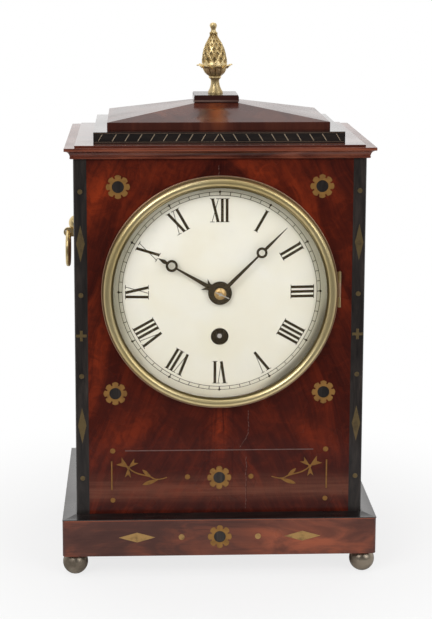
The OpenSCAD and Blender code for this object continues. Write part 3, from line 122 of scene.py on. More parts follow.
class Nodes:
    """Builds the node tree of one finish on the object's own coordinates."""

    def __init__(self, name: str) -> None:
        """Start an empty tree with a Principled shader.

        Args:
            name: The finish's name.
        """
        self.material = bpy.data.materials.new(name)
        self.material.use_nodes = True
        self.tree = self.material.node_tree
        self.tree.nodes.clear()
        self.out = self.add("OutputMaterial").inputs["Surface"]
        self.skin = self.add("BsdfPrincipled")
        self.tree.links.new(self.skin.outputs[0], self.out)
        self.place = self.add("TexCoord").outputs["Object"]

    def add(self, kind: str, **inputs: Any) -> bpy.types.Node:
        """Add a node and fill its sockets.

        Args:
            kind: The node's type without its ShaderNode prefix.
            **inputs: Values or sockets by socket name, spaces written as underscores.

        Returns:
            The new node.
        """
        node = self.tree.nodes.new("ShaderNode" + kind)
        for key, value in inputs.items():
            self.feed(node.inputs[key.replace("_", " ")], value)
        return node

    def feed(self, socket: Socket, value: Any) -> None:
        """Link a socket, or set it where the value is a plain one.

        Args:
            socket: The socket to fill.
            value: A socket, number, colour or vector.
        """
        if isinstance(value, Socket):
            self.tree.links.new(value, socket)
        else:
            socket.default_value = value

    def reckon(self, kind: str, *values: Any) -> Socket:
        """One step of arithmetic.

        Args:
            kind: Blender's name of the operation.
            *values: Sockets or numbers.

        Returns:
            The result's socket.
        """
        node = self.add("Math")
        node.operation = kind
        for socket, value in zip(node.inputs, values):
            self.feed(socket, value)
        return node.outputs[0]

    def times(self, *values: Any) -> Socket:
        """The product of sockets or numbers."""
        return reduce(lambda first, second: self.reckon("MULTIPLY", first, second), values)

    def plus(self, first: Any, second: Any) -> Socket:
        """The sum of two sockets or numbers."""
        return self.reckon("ADD", first, second)

    def less(self, first: Any, second: Any) -> Socket:
        """The first value less the second."""
        return self.reckon("SUBTRACT", first, second)

    def size(self, value: Socket) -> Socket:
        """A value without its sign."""
        return self.reckon("ABSOLUTE", value)

    def hypot(self, x: Socket, z: Socket) -> Socket:
        """The length of two distances at right angles."""
        return self.reckon("SQRT", self.plus(self.times(x, x), self.times(z, z)))

    def at(self, x: Any = 0.0, y: Any = 0.0, z: Any = 0.0) -> Socket:
        """Coordinates put together from three values."""
        return self.add("CombineXYZ", X=x, Y=y, Z=z).outputs[0]

    def stretch(self, scale: Point, shift: Point = (0.0, 0.0, 0.0)) -> Socket:
        """The object's coordinates, scaled by a factor and moved by metres on each axis."""
        return self.add("Mapping", Vector=self.place, Scale=scale, Location=shift).outputs[0]

    def noise(self, at: Socket, scale: float, detail: float = 4.0, rough: float = 0.55,
              warp: float = 0.0) -> Socket:
        """Soft noise between 0 and 1.

        Args:
            at: Coordinates.
            scale: Waves to the metre.
            detail: Octaves.
            rough: Strength of the finer octaves.
            warp: How far the pattern is pulled about.

        Returns:
            The noise's socket.
        """
        node = self.add("TexNoise", Vector=at, Scale=scale, Detail=detail, Roughness=rough, Distortion=warp)
        return node.outputs[0]

    def ramp(self, value: Socket, *stops: tuple[float, str]) -> Socket:
        """Colours along a value.

        Args:
            value: The driving socket.
            *stops: Position and screen colour of each stop.

        Returns:
            The colour's socket.
        """
        node = self.add("ValToRGB", Fac=value)
        marks = node.color_ramp.elements
        while len(marks) < len(stops):
            marks.new(0.5)
        for mark, (at, code) in zip(marks, stops):
            mark.position = at
            mark.color = colour(code)
        return node.outputs[0]

    def step(self, value: Any, low: float, high: float, start: float = 0.0, end: float = 1.0) -> Socket:
        """Map a range of a value to another range, smoothly and clamped.

        Args:
            value: The driving socket.
            low: Value that gives start.
            high: Value that gives end.
            start: Result below low.
            end: Result above high.

        Returns:
            The result's socket.
        """
        node = self.add("MapRange")
        node.interpolation_type = "SMOOTHSTEP"
        for socket, given in zip(node.inputs, (value, low, high, start, end)):
            self.feed(socket, given)
        return node.outputs[0]

    def away(self, x: Any, z: Any, at: Pair = (0.0, 0.0)) -> Socket:
        """Distance in metres from a point given in millimetres."""
        return self.hypot(self.less(x, at[0] * MM), self.less(z, at[1] * MM))

    def aligned(self, x: Any, z: Any, at: Pair, lean: float) -> tuple[Socket, Socket]:
        """Distances along and across a leaning line.

        Args:
            x: Sideways coordinate in metres.
            z: Height in metres.
            at: A point on the line, in millimetres.
            lean: Angle of the line with the level, in radians.

        Returns:
            The sockets of both distances, in metres.
        """
        x, z = self.less(x, at[0] * MM), self.less(z, at[1] * MM)
        c, s = math.cos(lean), math.sin(lean)
        return self.plus(self.times(x, c), self.times(z, s)), self.less(self.times(z, c), self.times(x, s))

    def spot(self, x: Any, z: Any, at: Pair, radii: Pair, lean: float = 0.0) -> Socket:
        """A soft round patch, 1 at its middle and 0 from its edge outwards.

        Args:
            x: Sideways coordinate in metres.
            z: Height in metres.
            at: Middle of the patch, in millimetres.
            radii: Its half length and half width, in millimetres.
            lean: Degrees that its length is turned from level, upwards to the right.

        Returns:
            The patch's socket.
        """
        along, across = self.aligned(x, z, at, math.radians(lean))
        far = self.hypot(self.times(along, 1 / (radii[0] * MM)), self.times(across, 1 / (radii[1] * MM)))
        return self.step(far, 0.0, 1.0, 1.0, 0.0)

    def line(self, x: Any, z: Any, start: Pair, end: Pair, width: float) -> Socket:
        """A thin straight line, 1 on it and 0 beside it.

        Args:
            x: Sideways coordinate in metres.
            z: Height in metres.
            start: One end, in millimetres.
            end: The other end.
            width: Its width in millimetres.

        Returns:
            The line's socket.
        """
        middle = ((start[0] + end[0]) / 2, (start[1] + end[1]) / 2)
        half = math.dist(start, end) / 2
        along, across = self.aligned(x, z, middle, math.atan2(end[1] - start[1], end[0] - start[0]))
        inside = self.step(self.size(along), (half - 0.5) * MM, (half + 0.5) * MM, 1.0, 0.0)
        return self.times(inside, self.step(self.size(across), width * 0.3 * MM, width * 0.7 * MM, 1.0, 0.0))

    def mix(self, share: Any, first: Any, second: Any) -> Socket:
        """Mix two colours.

        Args:
            share: How much of the second.
            first: Screen colour or socket.
            second: Screen colour or socket.

        Returns:
            The mixed colour's socket.
        """
        node = self.add("Mix")
        node.data_type = "RGBA"
        self.feed(node.inputs[0], share)
        for socket, tint in zip(node.inputs[6:8], (first, second)):
            self.feed(socket, colour(tint) if isinstance(tint, str) else tint)
        return node.outputs[2]

    def over(self, tint: Any, code: str, *shares: Any) -> Socket:
        """Lay a screen colour over a tint, as thick as the product of the shares."""
        return self.mix(self.times(*shares), tint, code)

    def relief(self, height: Socket, strength: float, depth: float) -> None:
        """Give the skin a bump.

        Args:
            height: The relief's socket.
            strength: Share of the full effect.
            depth: Depth of the relief in metres.
        """
        node = self.add("Bump", Height=height, Strength=strength, Distance=depth)
        self.tree.links.new(node.outputs[0], self.skin.inputs["Normal"])

    def set(self, **values: Any) -> None:
        """Fill sockets of the skin by name, spaces written as underscores."""
        for key, value in values.items():
            self.feed(self.skin.inputs[key.replace("_", " ")], value)

    def axes(self) -> tuple[Socket, Socket, Socket]:
        """The object's coordinates as three sockets."""
        parts = self.add("SeparateXYZ", Vector=self.place).outputs
        return parts[0], parts[1], parts[2]

    def blend(self, share: Socket, other: bpy.types.Node) -> None:
        """Show another shader in place of the skin.

        Args:
            share: How much of the other shader shows.
            other: The other shader.
        """
        both = self.add("MixShader")
        for socket, value in zip(both.inputs, (share, self.skin.outputs[0], other.outputs[0])):
            self.feed(socket, value)
        self.feed(self.out, both.outputs[0])


@dataclass(frozen=True)
class Coat:
    """One finish of the clock; each kind lays its nodes in its own way.

    Attributes:
        name: The finish's name.
    """

    name: str

    def lay(self, n: Nodes) -> None:
        """Lay the nodes of this kind of finish."""
        raise NotImplementedError

    def make(self) -> Finish:
        """Build the finish.

        Returns:
            The finish.
        """
        n = Nodes(self.name)
        self.lay(n)
        return n.material


@dataclass(frozen=True)
class Board(Coat):
    """Polished hardwood with straight fibres and a soft figure.

    Attributes:
        dark: Colour of the pores and dark bands.
        body: Main colour.
        light: Colour of the bright figure.
        grain: Which way the fibres run.
        figure: Bands to the metre across the fibres.
        shine: Roughness of the polish.
        patch: Shift of the pattern, so that boards differ.
        contrast: Spread of the figure's bands.
        polish: Strength of the clear polish.
        depth: Refraction of the polish, higher on the faces that mirror the room.
        glow: Middle, half length and half width of a bright patch, in millimetres.
        rubbed: Height of a pale line along an edge, partly rubbed wear and partly a painted highlight, in
            millimetres.
        warm: Colour of the patch and of the pale edge line, or None for the light colour.
        streak: Length of the figure, less for longer streaks.
    """

    dark: str
    body: str
    light: str
    grain: Grain
    figure: float = 60.0
    shine: float = 0.24
    patch: float = 0.0
    contrast: float = 0.3
    polish: float = 0.3
    depth: float = 1.5
    glow: tuple[float, float, float, float] | None = None
    rubbed: float | None = None
    warm: str | None = None
    streak: float = 0.12

    def lay(self, n: Nodes) -> None:
        """Lay the nodes.

        Args:
            n: The finish's nodes.
        """
        x, _, z = n.axes()
        axis = (Grain.ACROSS, Grain.DEEP, Grain.UPRIGHT).index(self.grain)
        along = tuple(self.streak if i == axis else 1.0 for i in range(3))
        fine = tuple(0.03 if i == axis else 1.0 for i in range(3))
        shift = (self.patch, self.patch * 0.7, self.patch * 1.3)
        bands = n.noise(n.stretch(along, shift), self.figure, 5, 0.6, 0.9)
        clouds = n.noise(n.stretch((1, 1, 1), shift), 14, 2, 0.5)
        spread = self.contrast * 0.6
        tint = n.ramp(bands, (0.5 - spread, self.dark), (0.5, self.body), (0.5 + spread, self.light))
        tint = n.over(tint, self.dark, n.step(clouds, 0.35, 0.7, 0.0, 0.45))
        pores = n.noise(n.stretch(fine, shift), 1500, 2, 0.5)
        tint = n.over(tint, self.dark, n.step(pores, 0.56, 0.72, 0.0, 0.55))
        warm = self.warm or self.light
        if self.glow:
            patch = n.times(n.spot(x, z, self.glow[:2], self.glow[2:]), n.step(bands, 0.35, 0.6, 0.3, 1.0))
            tint = n.over(tint, warm, patch)
        # A pale line along the edge at that height: partly rubbed wear, partly a painted highlight.
        if self.rubbed is not None:
            near = n.step(n.size(n.less(z, self.rubbed * MM)), 0.0003, 0.0012, 0.6, 0.0)
            tint = n.over(tint, warm, near, n.step(clouds, 0.3, 0.5, 0.3, 1.0))
        n.set(Base_Color=tint, Roughness=n.step(clouds, 0.3, 0.7, self.shine - 0.05, self.shine + 0.07),
              Coat_Weight=self.polish, Coat_Roughness=0.08, Coat_IOR=self.depth, Specular_IOR_Level=0.2)
        n.relief(pores, 0.12, 0.0002)


@dataclass(frozen=True)
class FlameVeneer(Coat):
    """Crotch mahogany laid as a mirrored pair, with plumes that fall away from the middle joint.

    Attributes:
        foot: Height of the board's foot above the ground, in millimetres.
        glows: Place, half length, half width, lean and strength of each bright tongue, in millimetres and
            degrees.
        splits: Ends of each hair crack, in millimetres.
    """

    foot: float = 56.0
    glows: tuple[tuple[float, float, float, float, float, float], ...] = (
        (-104, 368, 62, 34, 50, 0.9), (-66, 352, 50, 20, 40, 0.4), (60, 372, 84, 22, -38, 0.5),
        (98, 326, 66, 22, -52, 0.4), (-116, 205, 84, 22, 84, 0.6), (-90, 132, 66, 24, 30, 0.4),
        (0, 140, 44, 14, 90, 0.6), (80, 136, 60, 20, -28, 0.35), (-30, 80, 90, 12, 0, 0.3),
        (112, 262, 60, 14, 86, 0.3), (32, 385, 42, 15, -28, 0.65), (-52, 382, 52, 17, 12, 0.35),
        (90, 378, 52, 18, -52, 0.5))
    splits: tuple[tuple[float, float, float, float], ...] = (
        (27.1, 159, 27.3, 136), (27.3, 136, 19.5, 122), (25.4, 113, 25.0, 62), (-1.5, 391, -1.2, 380))

    def lay(self, n: Nodes) -> None:
        """Lay the nodes.

        Args:
            n: The finish's nodes.
        """
        x, _, z = n.axes()
        wobble = n.noise(n.place, 8, 2, 0.5)
        side = n.size(n.plus(x, n.times(n.less(wobble, 0.5), 0.045)))
        level = n.plus(z, n.times(n.reckon("POWER", side, 1.35), 4.2))
        plume = n.noise(n.at(n.times(side, 0.5), 0.35, level), 30, 3, 0.5, 0.8)
        broad = n.noise(n.stretch((1, 1, 0.8), (0.31, 0.1, 0.07)), 13, 3, 0.5, 0.6)
        tint = n.ramp(plume, (0.30, "#3A130E"), (0.48, "#4C1910"), (0.62, "#5E2012"), (0.80, "#762B15"))
        tint = n.over(tint, "#3C140F", n.step(broad, 0.38, 0.66, 0.0, 0.55))
        fibre = n.noise(n.at(n.times(side, 0.22), 0.6, level), 230, 4, 0.6, 0.3)
        tint = n.over(tint, "#330F0B", n.step(fibre, 0.36, 0.5, 0.3, 0.0))
        tint = n.over(tint, "#7A2E17", n.step(fibre, 0.52, 0.68, 0.0, 0.12))
        blotch = n.noise(n.stretch((1, 1, 1), (0.9, 0.0, 0.2)), 42, 4, 0.65, 0.8)
        tint = n.over(tint, "#34130F", n.step(blotch, 0.46, 0.62, 0.0, 0.45))
        curl = n.noise(n.stretch((1, 1, 1), (0.2, 0.0, 0.4)), 85, 4, 0.6, 1.2)
        mottle = n.times(n.step(plume, 0.34, 0.62, 0.3, 1.0), n.step(curl, 0.34, 0.62, 0.45, 1.0))
        tint = n.over(tint, "#6A2514", n.step(curl, 0.5, 0.7, 0.0, 0.3))
        for left, up, long, wide, lean, strength in self.glows:
            warm = n.times(n.spot(x, z, (left, up), (long, wide), lean), mottle)
            tint = n.over(tint, "#9C3818", warm, strength)
        spine = n.noise(n.at(x, 0.2, n.times(z, 0.07)), 190, 4, 0.6, 0.4)
        near = n.step(side, 0.004, 0.03, 1.0, 0.0)
        tint = n.over(tint, "#2E0B09", near, n.step(spine, 0.47, 0.62, 0.0, 0.6))
        # Painted reflection: a pale streaky band just above the foot stands for the floor mirrored in the
        # polish.
        above = n.step(z, (self.foot + 10) * MM, (self.foot + 22) * MM)
        painted_floor_reflection = n.times(above, n.step(z, (self.foot + 24) * MM, (self.foot + 46) * MM, 1.0, 0.0))
        streak = n.noise(n.stretch((0.04, 1, 1)), 260, 3, 0.6)
        tint = n.over(tint, "#80503F", painted_floor_reflection, n.step(streak, 0.3, 0.7, 0.25, 0.6))
        waver = n.noise(n.at(0.3, 0.2, z), 150, 4, 0.6)
        strayed = n.plus(x, n.times(n.less(waver, 0.5), 0.004))
        broken = n.step(n.noise(n.at(0.8, 0.1, z), 380, 3, 0.6), 0.4, 0.6, 0.1, 1.0)
        for x0, z0, x1, z1 in self.splits:
            edge = n.line(strayed, z, (x0 + 0.5, z0), (x1 + 0.5, z1), 0.9)
            tint = n.over(tint, "#2A0D0A", edge, 0.5)
            pale = n.line(strayed, z, (x0, z0), (x1, z1), 0.7)
            tint = n.over(tint, "#8A665E", pale, broken, 0.55)
        pores = n.noise(n.at(n.times(side, 0.05), 0.1, level), 1500, 2, 0.5)
        tint = n.over(tint, "#2A0A09", n.step(pores, 0.55, 0.72, 0.0, 0.35))
        n.set(Base_Color=tint, Roughness=n.step(broad, 0.3, 0.7, 0.22, 0.32), Coat_Weight=0.06,
              Coat_Roughness=0.08, Specular_IOR_Level=0.14)
        n.relief(pores, 0.1, 0.0002)


@dataclass(frozen=True)
class Metal(Coat):
    """Cast or sheet metal with tarnish in soft clouds.

    Attributes:
        bright: Colour where it is rubbed clean.
        dull: Colour of the tarnish.
        rough: Roughness where clean.
        tarnish: Share of tarnish, 0 to 1.
        scratch: Strength of fine scratches.
        metallic: How far it is metal and not dirt.
        specks: Strength of small dark specks.
        patches: Clouds of tarnish to the metre.
        gloss: Strength of the shine where it is not metal.
    """

    bright: str
    dull: str
    rough: float = 0.25
    tarnish: float = 0.4
    scratch: float = 0.1
    metallic: float = 1.0
    specks: float = 0.1
    patches: float = 60.0
    gloss: float = 0.5

    def lay(self, n: Nodes) -> None:
        """Lay the nodes.

        Args:
            n: The finish's nodes.
        """
        cloud = n.noise(n.place, self.patches, 4, 0.55, 0.4)
        speck = n.noise(n.place, 700, 3, 0.6)
        clouded = n.step(cloud, 0.62 - self.tarnish * 0.5, 0.8, 0.0, 0.8)
        share = n.plus(clouded, n.step(speck, 0.58, 0.8, 0.0, self.specks))
        worn = n.step(share, 0.0, 1.0, self.rough, min(1.0, self.rough + 0.3))
        n.set(Base_Color=n.mix(share, self.bright, self.dull), Metallic=self.metallic, Roughness=worn,
              Specular_IOR_Level=self.gloss)
        n.relief(n.noise(n.stretch((1, 0.2, 1)), 2200, 2, 0.5), self.scratch, 0.00005)


@dataclass(frozen=True)
class Stringing(Coat):
    """Inlaid brass that is rubbed bright in some places and dull in others.

    Attributes:
        rubbed: Colour of the rubbed pieces.
        dull: Colour of the dull pieces.
        dirt: Colour of the dirt in both.
        reach: Distance from the middle where the dull pieces start, in millimetres.
        levels: Heights of dull level lines, in millimetres.
        within: Half length of those lines.
    """

    rubbed: str
    dull: str
    dirt: str = "#3C3022"
    reach: float = 1000.0
    levels: tuple[float, ...] = ()
    within: float = 1000.0

    def lay(self, n: Nodes) -> None:
        """Lay the nodes.

        Args:
            n: The finish's nodes.
        """
        x, _, z = n.axes()
        cloud = n.noise(n.place, 160, 4, 0.6)
        aside = n.size(x)
        worn = n.step(aside, (self.reach - 5) * MM, (self.reach + 5) * MM)
        for level in self.levels:
            near = n.step(n.size(n.less(z, level * MM)), 0.8 * MM, 1.2 * MM, 1.0, 0.0)
            line = n.times(near, n.step(aside, (self.within - 1) * MM, (self.within + 1) * MM, 1.0, 0.0))
            worn = n.reckon("MAXIMUM", worn, line)
        tint = n.mix(worn, self.rubbed, self.dull)
        n.set(Base_Color=n.over(tint, self.dirt, n.step(cloud, 0.45, 0.75, 0.0, 0.6)), Metallic=0.35,
              Roughness=n.step(cloud, 0.3, 0.7, 0.42, 0.6))
        n.relief(cloud, 0.2, 0.0001)


@dataclass(frozen=True)
class Engraved(Coat):
    """Brass darkened in its engraved lines and hollows, kept in the piece's own attribute: dirt on the
    rosettes and painted shade on the finial.

    Attributes:
        bright: Colour of the clean face.
        dull: Colour of the tarnish.
        dirt: Colour in the hollows, of dirt on the rosettes and of painted shade on the finial.
        rough: Roughness where clean.
        metallic: How far it is metal and not dirt.
    """

    bright: str
    dull: str
    dirt: str
    rough: float = 0.4
    metallic: float = 0.8

    def lay(self, n: Nodes) -> None:
        """Lay the nodes.

        Args:
            n: The finish's nodes.
        """
        # The attribute holds dirt on the rosettes and painted shade in the finial's lines and hollows.
        hollow_dirt_and_shade = n.add("Attribute")
        hollow_dirt_and_shade.attribute_name = "dirt"
        cloud = n.noise(n.place, 130, 4, 0.6)
        tint = n.mix(n.step(cloud, 0.42, 0.72, 0.0, 0.7), self.bright, self.dull)
        tint = n.over(tint, self.dirt, hollow_dirt_and_shade.outputs["Fac"], 0.85)
        n.set(Base_Color=tint, Metallic=self.metallic,
              Roughness=n.step(cloud, 0.3, 0.7, self.rough, self.rough + 0.15))
        n.relief(cloud, 0.15, 0.0001)


@dataclass(frozen=True)
class BezelBrass(Coat):
    """Spun brass of the bezel, with painted shade in its groove and at its inner edge, and a painted
    highlight on its rim.

    Attributes:
        centre: Middle of the bezel across and up, in millimetres.
        sight: Radius of its opening.
        outer: Radius of its rim.
    """

    centre: Pair
    sight: float
    outer: float

    def lay(self, n: Nodes) -> None:
        """Lay the nodes.

        Args:
            n: The finish's nodes.
        """
        x, _, z = n.axes()
        far = n.away(x, z, self.centre)
        cloud = n.noise(n.place, 18, 2, 0.5)
        tint = n.mix(n.step(cloud, 0.35, 0.7, 0.0, 0.6), "#EDDAA6", "#CDB577")
        # Painted shade: a dark band along the inner edge by the glass.
        inner = n.step(far, (self.sight + 0.9) * MM, (self.sight + 2.6) * MM, 1.0, 0.0)
        tint = n.over(tint, "#3E341A", inner, 0.8)
        # Painted shade: the groove between the bead and the half-round is darkened.
        groove = n.step(far, (self.outer - 2.1) * MM, (self.outer - 1.6) * MM)
        tint = n.over(tint, "#3A2E1C", groove, 0.45)
        # Painted highlight: a pale pinkish line round the rim, less metallic so that it stays bright.
        rim = n.step(far, (self.outer - 1.15) * MM, (self.outer - 0.85) * MM)
        tint = n.over(tint, "#B8967A", rim)
        n.set(Base_Color=tint, Metallic=n.less(0.86, n.times(rim, 0.38)),
              Roughness=n.step(cloud, 0.3, 0.7, 0.31, 0.37))


@dataclass(frozen=True)
class WornWorks(Coat):
    """Movement brass, with painted shade round the winding arbor, where it lies deep behind the dial, and
    steel in its middle.

    Attributes:
        centre: Place of the winding arbor, in millimetres.
        steel: Radius of the steel arbor.
        painted_shade_radius: Radius of the painted shade.
    """

    centre: Pair
    steel: float
    painted_shade_radius: float

    def lay(self, n: Nodes) -> None:
        """Lay the nodes.

        Args:
            n: The finish's nodes.
        """
        x, _, z = n.axes()
        far = n.away(x, z, self.centre)
        cloud = n.noise(n.place, 60, 4, 0.55, 0.4)
        brass = n.mix(n.step(cloud, 0.42, 0.8, 0.0, 0.8), "#C2A668", "#86703C")
        # Painted shade: the brass turns near black round the winding arbor, which lies deep behind the dial.
        dark = n.step(far, self.painted_shade_radius * 0.8 * MM, self.painted_shade_radius * MM, 1.0, 0.0)
        tint = n.over(brass, "#14110E", dark)
        tint = n.over(tint, "#B4AFAA", n.step(far, self.steel * MM, (self.steel + 0.7) * MM, 1.0, 0.0))
        n.set(Base_Color=tint, Metallic=n.step(far, self.steel * MM, self.painted_shade_radius * MM, 0.6, 1.0),
              Roughness=n.step(cloud, 0.3, 0.7, 0.3, 0.5))
        n.relief(n.noise(n.stretch((1, 0.2, 1)), 2200, 2, 0.5), 0.12, 0.00005)


@dataclass(frozen=True)
class DialPaint(Coat):
    """Old white oil paint on a domed iron dial, yellowed, with some dirt and painted shade under the bezel, a
    painted shadow in the gap at the lower right and a painted glare at the upper left.

    Attributes:
        centre: Middle of the dial, in millimetres.
    """

    centre: Point

    def lay(self, n: Nodes) -> None:
        """Lay the nodes.

        Args:
            n: The finish's nodes.
        """
        x, _, z = n.axes()
        z = n.less(z, self.centre[2] * MM)
        far = n.away(x, z)
        cloud = n.noise(n.place, 22, 4, 0.55, 0.4)
        tint = n.ramp(cloud, (0.3, "#E0DAC8"), (0.5, "#E3DFD0"), (0.7, "#E5E2D7"))
        stain = n.times(n.step(n.away(x, z, (0, -47)), 0.007, 0.03, 0.3, 0.0), n.step(cloud, 0.3, 0.6))
        tint = n.over(tint, "#D6CDA8", stain)
        # Painted glare: a paler patch at the upper left stands for a lamp's reflection in the glass.
        painted_glare = n.plus(n.times(x, -0.766), n.times(z, 0.643))
        tint = n.over(tint, "#EFECE2", n.step(painted_glare, 0.045, 0.085, 0.0, 0.5))
        # Painted shade of the bezel: a grey-green band round the rim, weaker at the bottom and at the top;
        # the cloudy part from 70 mm outwards is dirt.
        rim = n.times(n.step(far, 0.0872, 0.0935, 0.0, 0.82), n.step(z, -0.08, -0.01, 0.25, 1.0))
        rim = n.times(rim, n.step(z, 0.05, 0.09, 1.0, 0.7))
        rim = n.plus(rim, n.times(n.step(far, 0.07, 0.098), n.step(cloud, 0.5, 0.8, 0.0, 0.25)))
        tint = n.over(tint, "#ACAA92", rim)
        # Painted shadow: a dark crescent in the gap between dial and bezel at the lower right.
        shade = n.plus(n.times(x, 0.819), n.times(z, -0.574))
        dirt = n.times(n.step(far, 0.0935, 0.0985), n.step(shade, 0.08, 0.096, 0.0, 0.75))
        tint = n.over(tint, "#4C4A3E", dirt)
        crack = n.add("TexVoronoi", Vector=n.place, Scale=230.0)
        crack.feature = "DISTANCE_TO_EDGE"
        lines = n.step(crack.outputs[0], 0.0, 0.03, 1.0, 0.0)
        tint = n.over(tint, "#9A927A", lines, n.step(cloud, 0.45, 0.65, 0.0, 0.16))
        n.set(Base_Color=tint, Roughness=0.42, Specular_IOR_Level=0.35)
        n.relief(cloud, 0.1, 0.0004)


@dataclass(frozen=True)
class Ink(Coat):
    """Black painted figures, thin in places.

    Attributes:
        strong: Colour of full paint.
        faded: Colour where it is rubbed.
    """

    strong: str = "#191307"
    faded: str = "#5A5448"

    def lay(self, n: Nodes) -> None:
        """Lay the nodes.

        Args:
            n: The finish's nodes.
        """
        wear = n.noise(n.place, 130, 4, 0.6)
        n.set(Base_Color=n.mix(n.step(wear, 0.55, 0.75, 0.0, 0.7), self.strong, self.faded), Roughness=0.6,
              Specular_IOR_Level=0.04)


@dataclass(frozen=True)
class Glass(Coat):
    """Clear old glass that lets the lamps through."""

    def lay(self, n: Nodes) -> None:
        """Lay the nodes.

        Args:
            n: The finish's nodes.
        """
        n.set(Base_Color=colour("#FCFBF9"), Roughness=0.02, Transmission_Weight=1.0, IOR=1.45,
              Specular_Tint=colour("#FFE2B4"))
        n.relief(n.noise(n.place, 20, 2, 0.5), 0.03, 0.0005)
        n.blend(n.add("LightPath").outputs["Is Shadow Ray"], n.add("BsdfTransparent"))


@dataclass(frozen=True)
class Silk(Coat):
    """Thin plain-woven silk behind the side frets.

    Attributes:
        warp: Colour of the upright threads.
        weft: Colour of the threads across.
    """

    warp: str = "#6A2620"
    weft: str = "#4E1A18"

    def lay(self, n: Nodes) -> None:
        """Lay the nodes.

        Args:
            n: The finish's nodes.
        """
        _, y, z = n.axes()
        up = n.reckon("SINE", n.times(y, 9000.0))
        along = n.reckon("SINE", n.times(z, 9000.0))
        weave = n.step(n.times(up, along), -0.6, 0.6)
        faded = n.noise(n.place, 30, 3, 0.5)
        tint = n.over(n.mix(weave, self.warp, self.weft), "#86503F", n.step(faded, 0.4, 0.7, 0.0, 0.5))
        n.set(Base_Color=tint, Roughness=0.6, Sheen_Weight=0.35)
        n.relief(weave, 0.3, 0.0002)


@dataclass(frozen=True)
class Gut(Coat):
    """Twisted gut line."""

    def lay(self, n: Nodes) -> None:
        """Lay the nodes.

        Args:
            n: The finish's nodes.
        """
        twist = n.noise(n.place, 700, 3, 0.5)
        n.set(Base_Color=n.ramp(twist, (0.35, "#8A5F26"), (0.65, "#C29A58")), Roughness=0.35)


